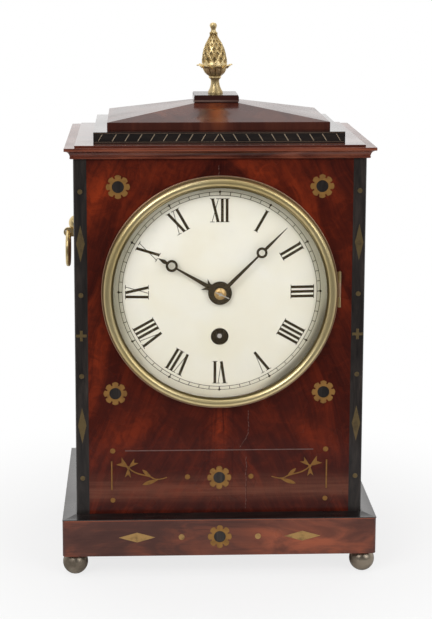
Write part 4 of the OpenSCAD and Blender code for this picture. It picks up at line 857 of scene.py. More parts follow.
class Paintbox:
    """Every finish of the clock, made once."""

    def __init__(self, dial_centre: Point, winding: Pair) -> None:
        """Make the finishes.

        Args:
            dial_centre: Middle of the dial, in millimetres.
            winding: Place of the winding arbor, in millimetres.
        """
        roof_top = extent("roof")[1].z
        pad_foot = extent("finial_pad")[0].z
        panel_top = extent("front_inlay")[1].z
        step_low, step_high = extent("step_inlay")
        bezel_low, bezel_high = extent("bezel")
        rim = (bezel_high.z - bezel_low.z) / 2
        across, upright = Grain.ACROSS, Grain.UPRIGHT
        self.flame = FlameVeneer("mahogany_flame").make()
        self.upright = Board("mahogany_sides", "#30120E", "#4C1A10", "#702818", upright, 55, patch=0.4).make()
        self.base = Board("mahogany_base", "#412723", "#603A31", "#A85A3E", across, 52, 0.3, 0.9, 0.5, 0.2,
                          glow=(80, 39, 92, 30), rubbed=56, streak=0.3).make()
        self.across = Board("mahogany_mouldings", "#431D15", "#773C2B", "#9A5840", across, 120, 0.24, 1.4,
                            0.34, 0.5, 1.5, rubbed=405.5).make()
        self.cap = Board("mahogany_cap", "#3A1813", "#5A281D", "#7A3E2C", across, 90, 0.2, 2.1,
                         0.3, 0.8, 1.6).make()
        self.roof = Board("mahogany_roof", "#3C1A14", "#572A1F", "#6E3A28", upright, 40, 0.24, 2.7,
                          0.3, 0.4, 1.5, glow=(0, roof_top, 13, 26), warm="#8E4822").make()
        self.pad = Board("mahogany_pad", "#200E0B", "#301512", "#3E1C17", across, 60, 0.3, 0.5,
                         0.3, 0.6, 1.5, rubbed=pad_foot + 2.0, warm="#8E746A").make()
        self.carcass = Board("mahogany_inside", "#3B1C12", "#63351F", "#7E4B2E", upright, 70, 0.5, 3.3).make()
        self.ebony = Board("ebonised_wood", "#1B1818", "#302B29", "#453D39", upright, 160, 0.34, 0.2,
                           0.4, 0.15).make()
        self.ebony_flat = Board("ebonised_mouldings", "#121010", "#221C1B", "#352C29", across, 160, 0.28, 0.7,
                                0.4, 0.8, 1.6).make()
        self.ebony_step = Board("ebonised_step", "#141111", "#241E1C", "#383029", across, 160, 0.22, 1.7,
                                0.4, 0.9, 1.6).make()
        self.brass = Metal("brass_polished", "#E2CB96", "#B09A68", 0.3, 0.3, 0.03, 0.85, 0.0, 30.0).make()
        self.rim = BezelBrass("brass_bezel", (0.0, dial_centre[2]), rim - Bezel.wide, rim).make()
        self.cast = Engraved("brass_cast", "#EED8A4", "#BFA670", "#745A2C", 0.36, 0.85).make()
        self.petals = Engraved("brass_petals", "#A07438", "#7A5629", "#2A1A0E", 0.5, 0.35).make()
        self.inlay = Stringing("brass_inlay", "#94682F", "#7E5F5A", "#5E4122", levels=(panel_top - 2.4,),
                               within=96.0).make()
        self.lines = Stringing("brass_lines", "#B8A68E", "#6A584A", "#5C4A38",
                               levels=(step_low.z + 0.3, step_high.z - 0.3)).make()
        self.lozenges = Stringing("brass_inlay_lozenges", "#B48E56", "#6C5A38", reach=110.0).make()
        self.frets = Metal("brass_frets", "#8E6C3C", "#5A4424", 0.5, 0.6, 0.1, 0.5).make()
        self.foot = Metal("brass_patinated", "#A29686", "#60574B", 0.3, 0.6, 0.1).make()
        self.collet = Metal("brass_collet", "#E6C486", "#6E441E", 0.24, 0.9, 0.03, 0.9, 0.0, 170.0).make()
        self.works = Metal("brass_movement", "#C6AA6C", "#A48A50", 0.32, 0.35, 0.1, patches=24.0).make()
        self.plate = WornWorks("brass_front_plate", winding, steel=0.0, painted_shade_radius=14.0).make()
        self.fusee = WornWorks("brass_fusee", winding, steel=1.8, painted_shade_radius=8.0).make()
        self.steel = Metal("steel_bright", "#B8B4AE", "#76706A", 0.28, 0.4, 0.1).make()
        self.blued = Metal("steel_blued", "#211A0F", "#151008", 0.5, 0.4, 0.05, 0.0, gloss=0.1).make()
        self.dial = DialPaint("dial_white", dial_centre).make()
        self.ink = Ink("numeral_black").make()
        self.glass = Glass("clear_glass").make()
        self.silk = Silk("fret_silk").make()
        self.gut = Gut("gut_line_amber").make()


def clear() -> None:
    """Deselect everything."""
    if bpy.context.object and bpy.context.object.mode != "OBJECT":
        bpy.ops.object.mode_set(mode="OBJECT")
    bpy.ops.object.select_all(action="DESELECT")


def take(*pieces: Piece) -> None:
    """Select pieces and make the first the active one.

    Args:
        *pieces: The pieces to work on.
    """
    clear()
    for piece in pieces:
        piece.select_set(True)
    bpy.context.view_layer.objects.active = pieces[0]


@contextmanager
def editing(piece: Piece, whole: bool = True) -> Iterator[None]:
    """Work on a piece in edit mode.

    Args:
        piece: The piece.
        whole: True to start with everything selected.
    """
    take(piece)
    bpy.ops.object.mode_set(mode="EDIT")
    bpy.ops.mesh.select_mode(type="VERT")
    if whole:
        bpy.ops.mesh.select_all(action="SELECT")
    yield
    bpy.ops.object.mode_set(mode="OBJECT")


def pick(piece: Piece, test: Callable[[Vector], bool]) -> None:
    """Select the vertices that pass a test on their place in millimetres.

    Args:
        piece: The piece, in object mode.
        test: Says whether a vertex is picked.
    """
    mesh = piece.data
    mesh.polygons.foreach_set("select", [False] * len(mesh.polygons))
    mesh.edges.foreach_set("select", [False] * len(mesh.edges))
    chosen = [bool(test(piece.matrix_world @ v.co / MM)) for v in mesh.vertices]
    mesh.vertices.foreach_set("select", chosen)


def added(name: str) -> Piece:
    """Name the primitive that was just added.

    Args:
        name: The name of the piece and its mesh.

    Returns:
        The piece.
    """
    piece = bpy.context.object
    piece.name = name
    piece.data.name = name
    return piece


def settle(piece: Piece) -> Piece:
    """Put a piece's place into its mesh and its object at the origin.

    Args:
        piece: The piece.

    Returns:
        The same piece.
    """
    bpy.context.view_layer.update()
    piece.data.transform(piece.matrix_world)
    piece.matrix_world = Matrix.Identity(4)
    return piece


def shape(piece: Piece, kind: str, **settings: Any) -> Piece:
    """Add a modifier and apply it.

    Args:
        piece: The piece.
        kind: Blender's name of the modifier.
        **settings: The modifier's settings.

    Returns:
        The same piece.
    """
    take(piece)
    modifier = piece.modifiers.new(kind.title(), kind)
    for key, value in settings.items():
        setattr(modifier, key, value)
    bpy.ops.object.modifier_apply(modifier=modifier.name)
    return piece


def tidy(piece: Piece) -> Piece:
    """Merge doubled points and turn the faces outwards.

    Args:
        piece: The piece.

    Returns:
        The same piece.
    """
    with editing(piece):
        bpy.ops.mesh.remove_doubles(threshold=0.001 * MM)
        bpy.ops.mesh.normals_make_consistent(inside=False)
    return piece


def join(name: str, pieces: Sequence[Piece]) -> Piece:
    """Join pieces into one.

    Args:
        name: The result's name.
        pieces: What is joined.

    Returns:
        The joined piece.
    """
    for piece in pieces:
        settle(piece)
    take(*pieces)
    if len(pieces) > 1:
        bpy.ops.object.join()
    return added(name)


def repeat(piece: Piece, places: Sequence[Matrix]) -> list[Piece]:
    """Copy a piece to each place, each copy with its own mesh, and remove the pattern piece.

    Args:
        piece: The pattern piece, settled.
        places: Where the copies go.

    Returns:
        The copies.
    """
    copies = []
    for place in places:
        copy = piece.copy()
        copy.data = piece.data.copy()
        bpy.context.scene.collection.objects.link(copy)
        copy.matrix_world = place
        copies.append(settle(copy))
    bpy.data.objects.remove(piece)
    return copies


def turned(name: str, profile: Sequence[Pair], steps: int) -> Piece:
    """Turn a profile about the upright axis, as on a lathe.

    Args:
        name: The piece's name.
        profile: Radius and height of each point, in millimetres.
        steps: Segments round.

    Returns:
        The turned piece.
    """
    clear()
    bpy.ops.mesh.primitive_plane_add(size=MM)
    piece = added(name)
    with editing(piece):
        bpy.ops.mesh.merge(type="CENTER")
        bpy.ops.transform.translate(value=(profile[0][0] * MM, 0, profile[0][1] * MM))
        for (r0, z0), (r1, z1) in zip(profile, profile[1:]):
            way = ((r1 - r0) * MM, 0, (z1 - z0) * MM)
            bpy.ops.mesh.extrude_region_move(TRANSFORM_OT_translate={"value": way})
        bpy.ops.mesh.select_all(action="SELECT")
        bpy.ops.mesh.spin(steps=steps, angle=math.tau, center=(0, 0, 0), axis=(0, 0, 1))
    return tidy(piece)


def finish(piece: Piece, paint: Finish, body: Body, angle: float = 40.0,
           replaces: Sequence[str] = ()) -> None:
    """Dress a piece, smooth it and set it on its body.

    Args:
        piece: The piece.
        paint: Its finish.
        body: The body it rides on.
        angle: Edges sharper than this stay sharp, in degrees.
        replaces: Parts of the frame that it stands for.
    """
    settle(piece)
    piece.data.materials.clear()
    piece.data.materials.append(paint)
    take(piece)
    bpy.ops.object.shade_smooth_by_angle(angle=math.radians(angle))
    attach(piece, body.value)
    if replaces:
        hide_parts(*replaces)
    LOG.info("piece %s: %d faces", piece.name, len(piece.data.polygons))


def dress(paint: Finish, *names: str) -> None:
    """Give parts of the frame their finish.

    Args:
        paint: The finish.
        *names: The parts.
    """
    for name in names:
        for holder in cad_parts[name].material_slots:
            holder.material = paint
        LOG.info("dressed %s in %s", name, paint.name)


@dataclass
class Part:
    """A part of the clock.

    Attributes:
        paints: The finishes that it is dressed in.
    """

    paints: Paintbox


@dataclass
class Dial(Part):
    """The painted dial with its chapter of Roman hours and its minute track.

    Attributes:
        centre: Middle of the dial, in millimetres.
        foot: Inner radius of the hours.
        head: Outer radius of the hours.
        thick: Width of a thick stroke.
        thin: Width of a thin stroke and of a serif.
        track: Radii of the minute track's circles.
        circle: Width of those circles.
        ticks: Widths of a minute's tick and of each fifth minute's.
        skin: How far the paint stands off the dial.
        strokes: The strokes drawn since the last piece was made.
    """

    centre: Point
    foot: float = 66.2
    head: float = 87.6
    thick: float = 2.6
    thin: float = 0.6
    track: Pair = (90.5, 93.8)
    circle: float = 0.5
    ticks: Pair = (0.6, 0.9)
    skin: float = 0.05
    strokes: list[Piece] = field(default_factory=list)

    # Of each letter: its width; foot, head and thickness of each stroke; place, end and width of each serif.
    LETTERS = {
        "I": (4.4, ((0.0, 0.0, "thick"),), ((0.0, "foot", 4.6), (0.0, "head", 4.6))),
        "V": (8.6, ((0.6, -2.7, "thick"), (0.6, 3.4, "thin")), ((-2.7, "head", 5.4), (3.4, "head", 3.4))),
        "X": (8.6, ((2.6, -2.6, "thick"), (-2.9, 2.9, "thin")),
              ((-2.8, "foot", 4.2), (-2.8, "head", 4.2), (2.8, "foot", 4.2), (2.8, "head", 4.2)))}

    def place(self, radius: float, sideways: float, hour: float) -> Matrix:
        """Where a point of an hour's figure lies.

        Args:
            radius: Distance up from the dial's middle.
            sideways: Distance to the right of the hour's line.
            hour: The hour.

        Returns:
            The matrix that takes a stroke drawn at the origin there.
        """
        return moved(*self.centre) @ spun(30 * hour, "Y") @ moved(sideways, 0, radius)

    def stroke(self, hour: float, start: Pair, end: Pair, width: float) -> None:
        """Draw one straight stroke of an hour's figure.

        Args:
            hour: The hour.
            start: Sideways and upward place of its foot.
            end: Sideways and upward place of its head.
            width: Its width.
        """
        clear()
        bpy.ops.mesh.primitive_grid_add(x_subdivisions=1, y_subdivisions=6, size=1)
        piece = added("stroke")
        middle = self.place((start[1] + end[1]) / 2, (start[0] + end[0]) / 2, hour)
        tilt = Matrix.Rotation(math.atan2(end[0] - start[0], end[1] - start[1]), 4, "Y")
        size = Matrix.Diagonal((width * MM, math.dist(start, end) * MM, 1, 1))
        piece.matrix_world = middle @ tilt @ spun(90, "X") @ size
        self.strokes.append(settle(piece))

    def serif(self, hour: float, at: float, level: float, width: float) -> None:
        """Draw the fine line that closes a stroke's end."""
        self.stroke(hour, (at - width / 2, level), (at + width / 2, level), self.thin)

    def figure(self, hour: int, letters: str) -> None:
        """Draw one hour in Roman letters.

        Args:
            hour: The hour.
            letters: Its letters, such as "VII".
        """
        width = {"thick": self.thick, "thin": self.thin}
        level = {"foot": self.foot, "head": self.head}
        left = -sum(self.LETTERS[letter][0] for letter in letters) / 2
        for letter in letters:
            wide, strokes, serifs = self.LETTERS[letter]
            middle = left + wide / 2
            for foot, head, weight in strokes:
                self.stroke(hour, (middle + foot, self.foot), (middle + head, self.head), width[weight])
            for at, end, long in serifs:
                self.serif(hour, middle + at, level[end], long)
            left += wide

    def paint(self, name: str, pieces: Sequence[Piece]) -> None:
        """Lay flat strokes on the dial's dome.

        Args:
            name: The piece's name.
            pieces: The strokes.
        """
        piece = join(name, pieces)
        piece.data.transform(Matrix.Translation((0, -0.01, 0)))
        shape(piece, "SHRINKWRAP", target=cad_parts["dial"], wrap_method="PROJECT",
              use_project_y=True, use_negative_direction=True, use_positive_direction=True,
              wrap_mode="ABOVE_SURFACE", offset=self.skin * MM)
        shape(piece, "SOLIDIFY", thickness=0.03 * MM, offset=0)
        finish(piece, self.paints.ink, Body.CASE)

    def minutes(self) -> list[Piece]:
        """Draw the minute track: two circles, sixty ticks and the marks at each five minutes.

        Returns:
            The flat pieces of the track.
        """
        pieces = []
        for radius in self.track:
            clear()
            bpy.ops.mesh.primitive_circle_add(vertices=180, radius=radius * MM, fill_type="NOTHING")
            ring = added("circle")
            with editing(ring):
                bpy.ops.mesh.extrude_edges_move()
                bpy.ops.transform.resize(value=(1 + self.circle / radius,) * 3)
            ring.matrix_world = facing(self.centre)
            pieces.append(settle(ring))
        inner, outer = self.track
        for minute in range(60):
            fifth = minute % 5 == 0
            self.stroke(minute / 5, (0, inner), (0, outer + self.circle), self.ticks[fifth])
            if fifth:
                self.stroke(minute / 5, (-0.8, outer - 0.7), (0.8, outer + 0.9), 2.0)
        pieces += self.strokes
        self.strokes = []
        return pieces

    def build(self) -> None:
        """Dress the dial and paint its figures."""
        dress(self.paints.dial, "dial")
        for hour, letters in enumerate("I II III IIII V VI VII VIII IX X XI XII".split(), 1):
            self.figure(hour, letters)
        figures, self.strokes = self.strokes, []
        self.paint("dial_hours", figures)
        self.paint("minute_track", self.minutes())


@dataclass
class Finial(Part):
    """The cast finial: a ribbed cup with curled leaves that holds a scaled cone.

    Attributes:
        ribs: Ribs round the cup.
        leaves: Curled leaves round the rim.
        rows: Rows of scales.
        around: Scales in a row.
        lean: How far it leans to the left, as a share of its height.
        drawn: Height that the profile is drawn to.
        tall: Height that it is cast to.
        neck: Height of the neck, below which it is darker.
        first_row: Height of the lowest row of scales.
        leaf_root: Radius and height where a leaf springs.
        leaf_long: How far it reaches outwards.
        leaf_wide: Its width at the root.
    """

    ribs: int = 12
    leaves: int = 8
    rows: int = 8
    around: int = 11
    lean: float = 0.034
    drawn: float = 69.1
    tall: float = 68.4
    neck: float = 13.5
    first_row: float = 33.2
    leaf_root: Pair = (11.4, 25.4)
    leaf_long: float = 6.9
    leaf_wide: float = 9.6

    PROFILE = (
        (0, 0), (7.2, 0), (7.2, 1.1), (6.9, 2.2), (5.9, 3.8), (4.9, 6.2), (4.3, 8.6), (4.0, 11), (4.1, 13.2),
        (4.7, 14.1), (5.7, 14.9), (6.1, 15.8), (5.8, 16.6), (6.4, 17.3), (8.0, 18.5), (9.8, 20.3),
        (11.0, 22.6), (11.8, 25), (12.2, 27), (12.3, 28.4), (11.8, 29.6), (11.2, 31), (11.1, 33), (10.7, 36),
        (10.1, 39.5), (9.3, 43), (8.2, 46), (6.9, 49), (5.4, 51.8), (4.1, 54.2), (3.2, 56.2), (3.1, 57.2),
        (3.3, 58.4), (3.1, 59.8), (2.5, 60.8), (2.3, 62), (2.6, 63.4), (3.2, 64.6), (3.5, 66), (3.2, 67.4),
        (2.2, 68.5), (0, 69.1))

    def radius(self, level: float) -> float:
        """Find the profile's radius.

        Args:
            level: Height above the finial's foot.

        Returns:
            The radius, or 0 above the tip.
        """
        for (r0, z0), (r1, z1) in zip(self.PROFILE, self.PROFILE[1:]):
            if z0 <= level <= z1 and z1 > z0:
                return r0 + (r1 - r0) * (level - z0) / (z1 - z0)
        return 0.0

    def core(self) -> Piece:
        """Turn the body and press the lines between the ribs into the cup and into the knob at the tip.

        Returns:
            The body, with its darkening in an attribute: painted shade in the lines between the ribs, and
            darker below the neck.
        """
        piece = turned("finial_core", self.PROFILE, self.ribs * 8)
        dirt_and_shade = piece.data.attributes.new("dirt", "FLOAT", "POINT").data
        # Darker below the neck.
        for v in piece.data.vertices:
            dirt_and_shade[v.index].value = 0.4 if v.co.z < self.neck * MM else 0.0
        cup, knob = (self.ribs, 18.0, 27.4, 0.9), (6, 56.6, 60.5, 0.78)
        for count, foot, head, deep in (cup, knob):

            def valley(v: Vector) -> bool:
                """Tell whether a point lies on the line between two ribs.

                Args:
                    v: The point, in millimetres.

                Returns:
                    True where it does.
                """
                turn = (math.degrees(math.atan2(v.y, v.x)) % (360 / count)) * count / 360
                return foot < v.z < head and (turn < 0.08 or turn > 0.92)

            pick(piece, valley)
            # Painted shade in the lines between the ribs.
            for v in piece.data.vertices:
                if v.select:
                    dirt_and_shade[v.index].value = 1.0
            with editing(piece, whole=False):
                bpy.ops.transform.resize(value=(deep, deep, 1), center_override=(0, 0, 0))
            dirt_and_shade = piece.data.attributes["dirt"].data
        return piece

    def leaf(self) -> Piece:
        """Model one curled leaf of the rim, pointing along +X.

        Returns:
            The leaf.
        """
        clear()
        bpy.ops.mesh.primitive_grid_add(x_subdivisions=8, y_subdivisions=6, size=1)
        piece = added("leaf")
        for v in piece.data.vertices:
            along, aside = v.co.x + 0.5, v.co.y
            wide = self.leaf_wide * (1 - 0.93 * along ** 1.6)
            out = self.leaf_root[0] + (self.leaf_long - abs(aside) * 1.2) * along
            curl = 3.6 * math.sin(along * 2.0) - 0.6 * along * along - 1.1 * abs(aside * 2) ** 1.5
            v.co = Vector((out, aside * wide, self.leaf_root[1] + curl)) * MM
        shape(piece, "SOLIDIFY", thickness=0.6 * MM, offset=-1)
        return shape(piece, "SUBSURF", levels=1, render_levels=1)

    def scale(self) -> Piece:
        """Model one scale of the cone, a raised lozenge with a hollow face, one metre in size and facing +X.

        Returns:
            The scale.
        """
        clear()
        bpy.ops.mesh.primitive_cylinder_add(vertices=4, radius=0.5, depth=0.5)
        piece = added("scale")
        with editing(piece):
            bpy.ops.transform.rotate(value=-math.radians(90), orient_axis="Y", center_override=(0, 0, 0))
        pick(piece, lambda v: v.x * MM > 0.2)
        with editing(piece, whole=False):
            bpy.ops.transform.resize(value=(1, 0.78, 0.78), center_override=(0, 0, 0))
            bpy.ops.mesh.inset(thickness=0.14, use_even_offset=False)
            bpy.ops.transform.translate(value=(-0.24, 0, 0))
        shape(piece, "BEVEL", width=0.04, segments=1)
        # Painted shade in the hollow face of the scale.
        dirt_and_shade = piece.data.attributes.new("dirt", "FLOAT", "POINT").data
        for v in piece.data.vertices:
            dirt_and_shade[v.index].value = 1.0 if math.hypot(v.co.y, v.co.z) < 0.27 else 0.0
        return piece

    def scales(self) -> list[Piece]:
        """Set the scales in staggered rows on the cone.

        Returns:
            The scales.
        """
        places = []
        level = self.first_row
        for row in range(self.rows):
            radius = self.radius(level)
            wide = math.tau * radius / self.around * 1.02
            tall = wide * 1.45 + 0.7
            lean = math.atan2(self.radius(level - 1) - self.radius(level + 1), 2)
            size = sized(4.2 * (0.5 + radius / 24), wide, tall)
            standing = moved(radius, 0, level) @ Matrix.Rotation(-lean, 4, "Y") @ size
            for k in range(self.around):
                places.append(spun((k + row % 2 / 2) * 360 / self.around + 6, "Z") @ standing)
            level += tall * 0.52
        return repeat(self.scale(), places)

    def build(self) -> None:
        """Model the finial and stand it on its pad."""
        _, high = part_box("finial")
        leaves = [Matrix.Rotation(math.tau * k / self.leaves + 0.2, 4, "Z") for k in range(self.leaves)]
        pieces = [self.core()] + repeat(self.leaf(), leaves) + self.scales()
        piece = join("finial_cast", pieces)
        tilt = Matrix.Identity(4)
        tilt[0][2] = -self.lean
        cast = Matrix.Diagonal((1, 1, self.tall / self.drawn, 1))
        piece.data.transform(Matrix.Translation((0, 0, high.z - self.tall * MM)) @ tilt @ cast)
        finish(piece, self.paints.cast, Body.CASE, 50, ("finial",))


@dataclass
class Casework(Part):
    """The mahogany and ebonised boards with their inlay, frets and handles.

    Attributes:
        edge: Width of the softened edges, in millimetres.
        last_line: Distance from the middle to the head of the step's last slanted line.
        lean: How far that line leans out at its foot.
        line: Width and depth of that line.
        short: How much shorter it is than the step's inlay is tall.
    """

    edge: float = 0.35
    last_line: float = 108.2
    lean: float = 4.0
    line: Pair = (0.8, 0.4)
    short: float = 2.0

    def build(self) -> None:
        """Dress the case."""
        dress(self.paints.flame, "front_board")
        dress(self.paints.upright, "side_left", "side_right", "rear_rails", "rear_door")
        dress(self.paints.base, "base_plinth")
        dress(self.paints.across, "cornice")
        dress(self.paints.pad, "finial_pad")
        dress(self.paints.cap, "cap_board")
        dress(self.paints.roof, "roof")
        dress(self.paints.carcass, "carcass_boards", "seat_board")
        dress(self.paints.ebony, "corner_strips", "rosette_plugs")
        dress(self.paints.ebony_flat, "base_moulding")
        dress(self.paints.ebony_step, "ebony_step")
        dress(self.paints.inlay, "front_inlay")
        dress(self.paints.frets, "side_frets")
        dress(self.paints.lozenges, "lozenge_inlay")
        dress(self.paints.lines, "step_inlay")
        dress(self.paints.brass, "handle_roses", "handle_ring_left", "handle_ring_right", "door_turn")
        dress(self.paints.works, "door_hinge_leaves", "door_hinge_plates")
        self.soften("cornice", "cap_board", "roof", "finial_pad", "rear_door")
        self.end_lines()

    def end_lines(self) -> None:
        """Lay the last slanted line at each end of the step's row."""
        low, high = extent("step_inlay")
        pieces = []
        for side in (-1, 1):
            clear()
            bpy.ops.mesh.primitive_cube_add(size=1)
            piece = added("slanted_line")
            middle = moved(side * self.last_line, low.y + 0.15, (low.z + high.z) / 2)
            piece.matrix_world = middle @ sized(*self.line, high.z - low.z - self.short)
            settle(piece)
            pick(piece, lambda v: v.z < (low.z + high.z) / 2)
            with editing(piece, whole=False):
                bpy.ops.transform.translate(value=(side * self.lean * MM, 0, 0))
            pieces.append(shape(piece, "BEVEL", width=0.08 * MM, segments=1))
        finish(join("step_end_lines", pieces), self.paints.lines, Body.CASE, 30)

    def soften(self, *names: str) -> None:
        """Take the sharpness off the edges of boards, as sanding and polish do.

        Args:
            *names: The boards.
        """
        for name in names:
            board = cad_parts[name]
            board.modifiers.new("Merge", "WELD").merge_threshold = 0.01 * MM
            edges = board.modifiers.new("Edges", "BEVEL")
            edges.width = self.edge * MM
            edges.segments = 2
            edges.limit_method = "ANGLE"
            edges.angle_limit = math.radians(35)


@dataclass
class Feet(Part):
    """The four turned brass balls that the clock stands on.

    Attributes:
        ball: Radius of a ball.
        flat: Radius of the flat that it rests on.
        out: How far each pair stands outside the frame's own.
        level: Height of the wood above the ground.
        steps: Points of the ball's profile, less one.
    """

    ball: float = 11.9
    flat: float = 3.0
    out: float = 2.1
    level: float = 21.0
    steps: int = 22

    def build(self) -> None:
        """Turn one foot and stand a copy under each corner."""
        low, high = extent("ball_feet")
        middle = math.sqrt(self.ball ** 2 - self.flat ** 2)
        first = math.asin(-middle / self.ball)
        last = math.asin((self.level - 0.02 - middle) / self.ball)
        angles = [first + (last - first) * k / self.steps for k in range(self.steps + 1)]
        profile = [(0, 0)] + [(self.ball * math.cos(a), middle + self.ball * math.sin(a)) for a in angles]
        profile.append((0, profile[-1][1]))
        x = high.x - self.ball + self.out
        places = [moved(side * x, y, 0) for side in (-1, 1) for y in (low.y + self.ball, high.y - self.ball)]
        feet = repeat(turned("foot", profile, 48), places)
        finish(join("ball_feet_turned", feet), self.paints.foot, Body.CASE, 40, ("ball_feet",))


@dataclass
class Rosettes(Part):
    """The engraved brass flowers let into the front and the base.

    Attributes:
        petals: Petals of a flower.
        notch: Depth of the gap between two petals, as a share of the radius.
        groove: Depth of the engraved line between two petals.
        steps: Points round a petal.
        proud: How far the flower stands off the wood, so that it covers it.
        sunk: How far the bed lies below the wood.
        near: Points closer than this to a flower's middle, across and up, belong to it.
        roll: How far its rim is rubbed down.
        thinner: How much thinner it is than the frame's.
        bed_radii: Inner and outer radius of the bed, as shares of the flower's.
    """

    petals: int = 8
    notch: float = 0.2
    groove: float = 0.15
    steps: int = 8
    proud: float = 0.02
    sunk: float = 0.04
    near: float = 24.0
    roll: float = 0.04
    thinner: float = 0.3
    bed_radii: Pair = (0.72, 1.06)

    def flower(self, middle: Vector, radius: float, hole: float, thick: float) -> Piece:
        """Cut one flower from sheet brass and engrave its petals.

        Args:
            middle: Middle of its face.
            radius: Distance to a petal's tip.
            hole: Radius of the hole in its middle.
            thick: Thickness of the sheet.

        Returns:
            The flower.
        """
        clear()
        around = self.petals * self.steps
        bpy.ops.mesh.primitive_circle_add(vertices=around, radius=hole * MM, fill_type="NOTHING")
        piece = added("rosette")
        with editing(piece):
            last = hole
            for share in (0.06, 0.3, 0.55, 0.78, 0.93, 1.0):
                ring = hole + (radius - hole) * share
                bpy.ops.mesh.extrude_edges_move()
                bpy.ops.transform.resize(value=(ring / last, ring / last, 1), center_override=(0, 0, 0))
                last = ring
        dirt_and_shade = piece.data.attributes.new("dirt", "FLOAT", "POINT").data
        for v in piece.data.vertices:
            far = math.hypot(v.co.x, v.co.y) / MM
            out = max(0.0, (far - hole) / (radius - hole))
            edge = max(0.0, out - 0.9) / 0.1
            lobe = abs(math.cos(math.atan2(v.co.x, v.co.y) * self.petals / 2))
            pull = 1 - self.notch * (1 - lobe ** 0.7) * out ** 2
            cut = (1 - lobe) ** 3 * min(1.0, out * 2)
            v.co = (v.co.x * pull, v.co.y * pull, -(self.groove * cut + self.roll * edge) * MM)
            heart = 0.5 if out < 0.05 else 0.0
            dirt_and_shade[v.index].value = min(1.0, cut * out * 0.85 + 0.45 * edge + heart)
        shape(piece, "SOLIDIFY", thickness=thick * MM, offset=1)
        tidy(piece)
        piece.matrix_world = facing(middle)
        return settle(piece)

    def bed(self, middle: Vector, radius: float, thick: float) -> Piece:
        """Turn the ring of wood that closes the recess between the petals' tips.

        Args:
            middle: Middle of its face.
            radius: Distance to a petal's tip.
            thick: Thickness of the ring.

        Returns:
            The ring.
        """
        inner, outer = (radius * share for share in self.bed_radii)
        profile = ((inner, -thick), (outer, -thick), (outer, 0), (inner, 0), (inner, -thick))
        piece = turned("rosette_bed", profile, 48)
        piece.matrix_world = facing(middle)
        return settle(piece)

    def build(self) -> None:
        """Cut a flower round each ebony plug."""
        boxes: list[tuple[Vector, Vector]] = []
        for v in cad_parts["rosettes"].data.vertices:
            place = v.co / MM
            for low, high in boxes:
                off = (low + high) / 2 - place
                if max(abs(off.x), abs(off.z)) < self.near:
                    low.xyz = [min(a, b) for a, b in zip(low, place)]
                    high.xyz = [max(a, b) for a, b in zip(high, place)]
                    break
            else:
                boxes.append((place.copy(), place.copy()))
        pieces = []
        beds: dict[bool, list[Piece]] = {True: [], False: []}
        base_top = extent("base_plinth")[1].z
        for low, high in boxes:
            middle = Vector(((low.x + high.x) / 2, low.y - self.proud, (low.z + high.z) / 2))
            tip = (high.x - low.x) / 2 / math.cos(math.pi / self.petals)
            thick = high.y - low.y - self.thinner
            pieces.append(self.flower(middle, tip, self.hole(middle), thick))
            face = middle + Vector((0, self.proud + self.sunk, 0))
            beds[middle.z < base_top].append(self.bed(face, tip, thick))
        finish(join("rosette_beds", beds[False]), self.paints.flame, Body.CASE)
        finish(join("base_rosette_bed", beds[True]), self.paints.base, Body.CASE)
        flowers = join("rosette_flowers", pieces)
        finish(flowers, self.paints.petals, Body.CASE, 40, ("rosettes",))

    def hole(self, middle: Vector) -> float:
        """Measure the plug in the middle of a flower.

        Args:
            middle: Middle of the flower's face.

        Returns:
            The plug's radius with a hair's gap.
        """
        offs = [v.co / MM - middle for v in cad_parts["rosette_plugs"].data.vertices]
        return max(abs(off.x) for off in offs if max(abs(off.x), abs(off.z)) < 10) + 0.03


@dataclass
class FretSilk(Part):
    """The silk stretched behind each side fret.

    Attributes:
        wave: How far the cloth ripples, in millimetres.
        thick: Thickness of the cloth.
        off: Distance of its middle from the inside of the fret.
    """

    wave: float = 0.12
    thick: float = 0.25
    off: float = 0.4

    def build(self) -> None:
        """Stretch a cloth on each side."""
        low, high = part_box("fret_silks")
        wide, tall = high.y - low.y, high.z - low.z
        for side, name in ((-1, "left"), (1, "right")):
            clear()
            bpy.ops.mesh.primitive_grid_add(x_subdivisions=44, y_subdivisions=60, size=1)
            piece = added("fret_silk_" + name)
            for v in piece.data.vertices:
                y, z = v.co.x * wide, v.co.y * tall
                ripple = math.sin(y * 420 + 0.7 * side) * math.sin(z * 130) * self.wave * MM
                x = high.x - self.off * MM + ripple
                v.co = (side * x, (low.y + high.y) / 2 + y, (low.z + high.z) / 2 + z)
            shape(piece, "SOLIDIFY", thickness=self.thick * MM, offset=0)
            tidy(piece)
            finish(piece, self.paints.silk, Body.CASE, 60, ("fret_silks",) if side < 0 else ())


@dataclass
class HandRing(Part):
    """The thick inner edge of the ring on a hand.

    Attributes:
        name: The piece's name.
        hand: The hand that it lines.
        body: The body that it rides on.
        away: Distance of the ring from the dial's middle.
        turn: Angle of the hand, clockwise from twelve.
        hole: Radius of the hole that is left.
        outer: Radius of the hand's own hole.
        bevel: Width of the slanted edges of the hole.
    """

    name: str
    hand: str
    body: Body
    away: float
    turn: float
    hole: float
    outer: float
    bevel: float = 0.2

    def build(self, hub: Point) -> None:
        """Turn the lining and set it into the hand.

        Args:
            hub: Middle of the dial, in millimetres.
        """
        low, high = extent(self.hand)
        thick = high.y - low.y
        wide = self.hole + self.bevel
        profile = ((wide, 0), (self.outer, 0), (self.outer, thick), (wide, thick),
                   (self.hole, thick - self.bevel), (self.hole, self.bevel), (wide, 0))
        piece = turned(self.name, profile, 40)
        angle = math.radians(self.turn)
        across, up = self.away * math.sin(angle), self.away * math.cos(angle)
        piece.matrix_world = facing((hub[0] + across, high.y, hub[2] + up))
        finish(piece, self.paints.blued, self.body)


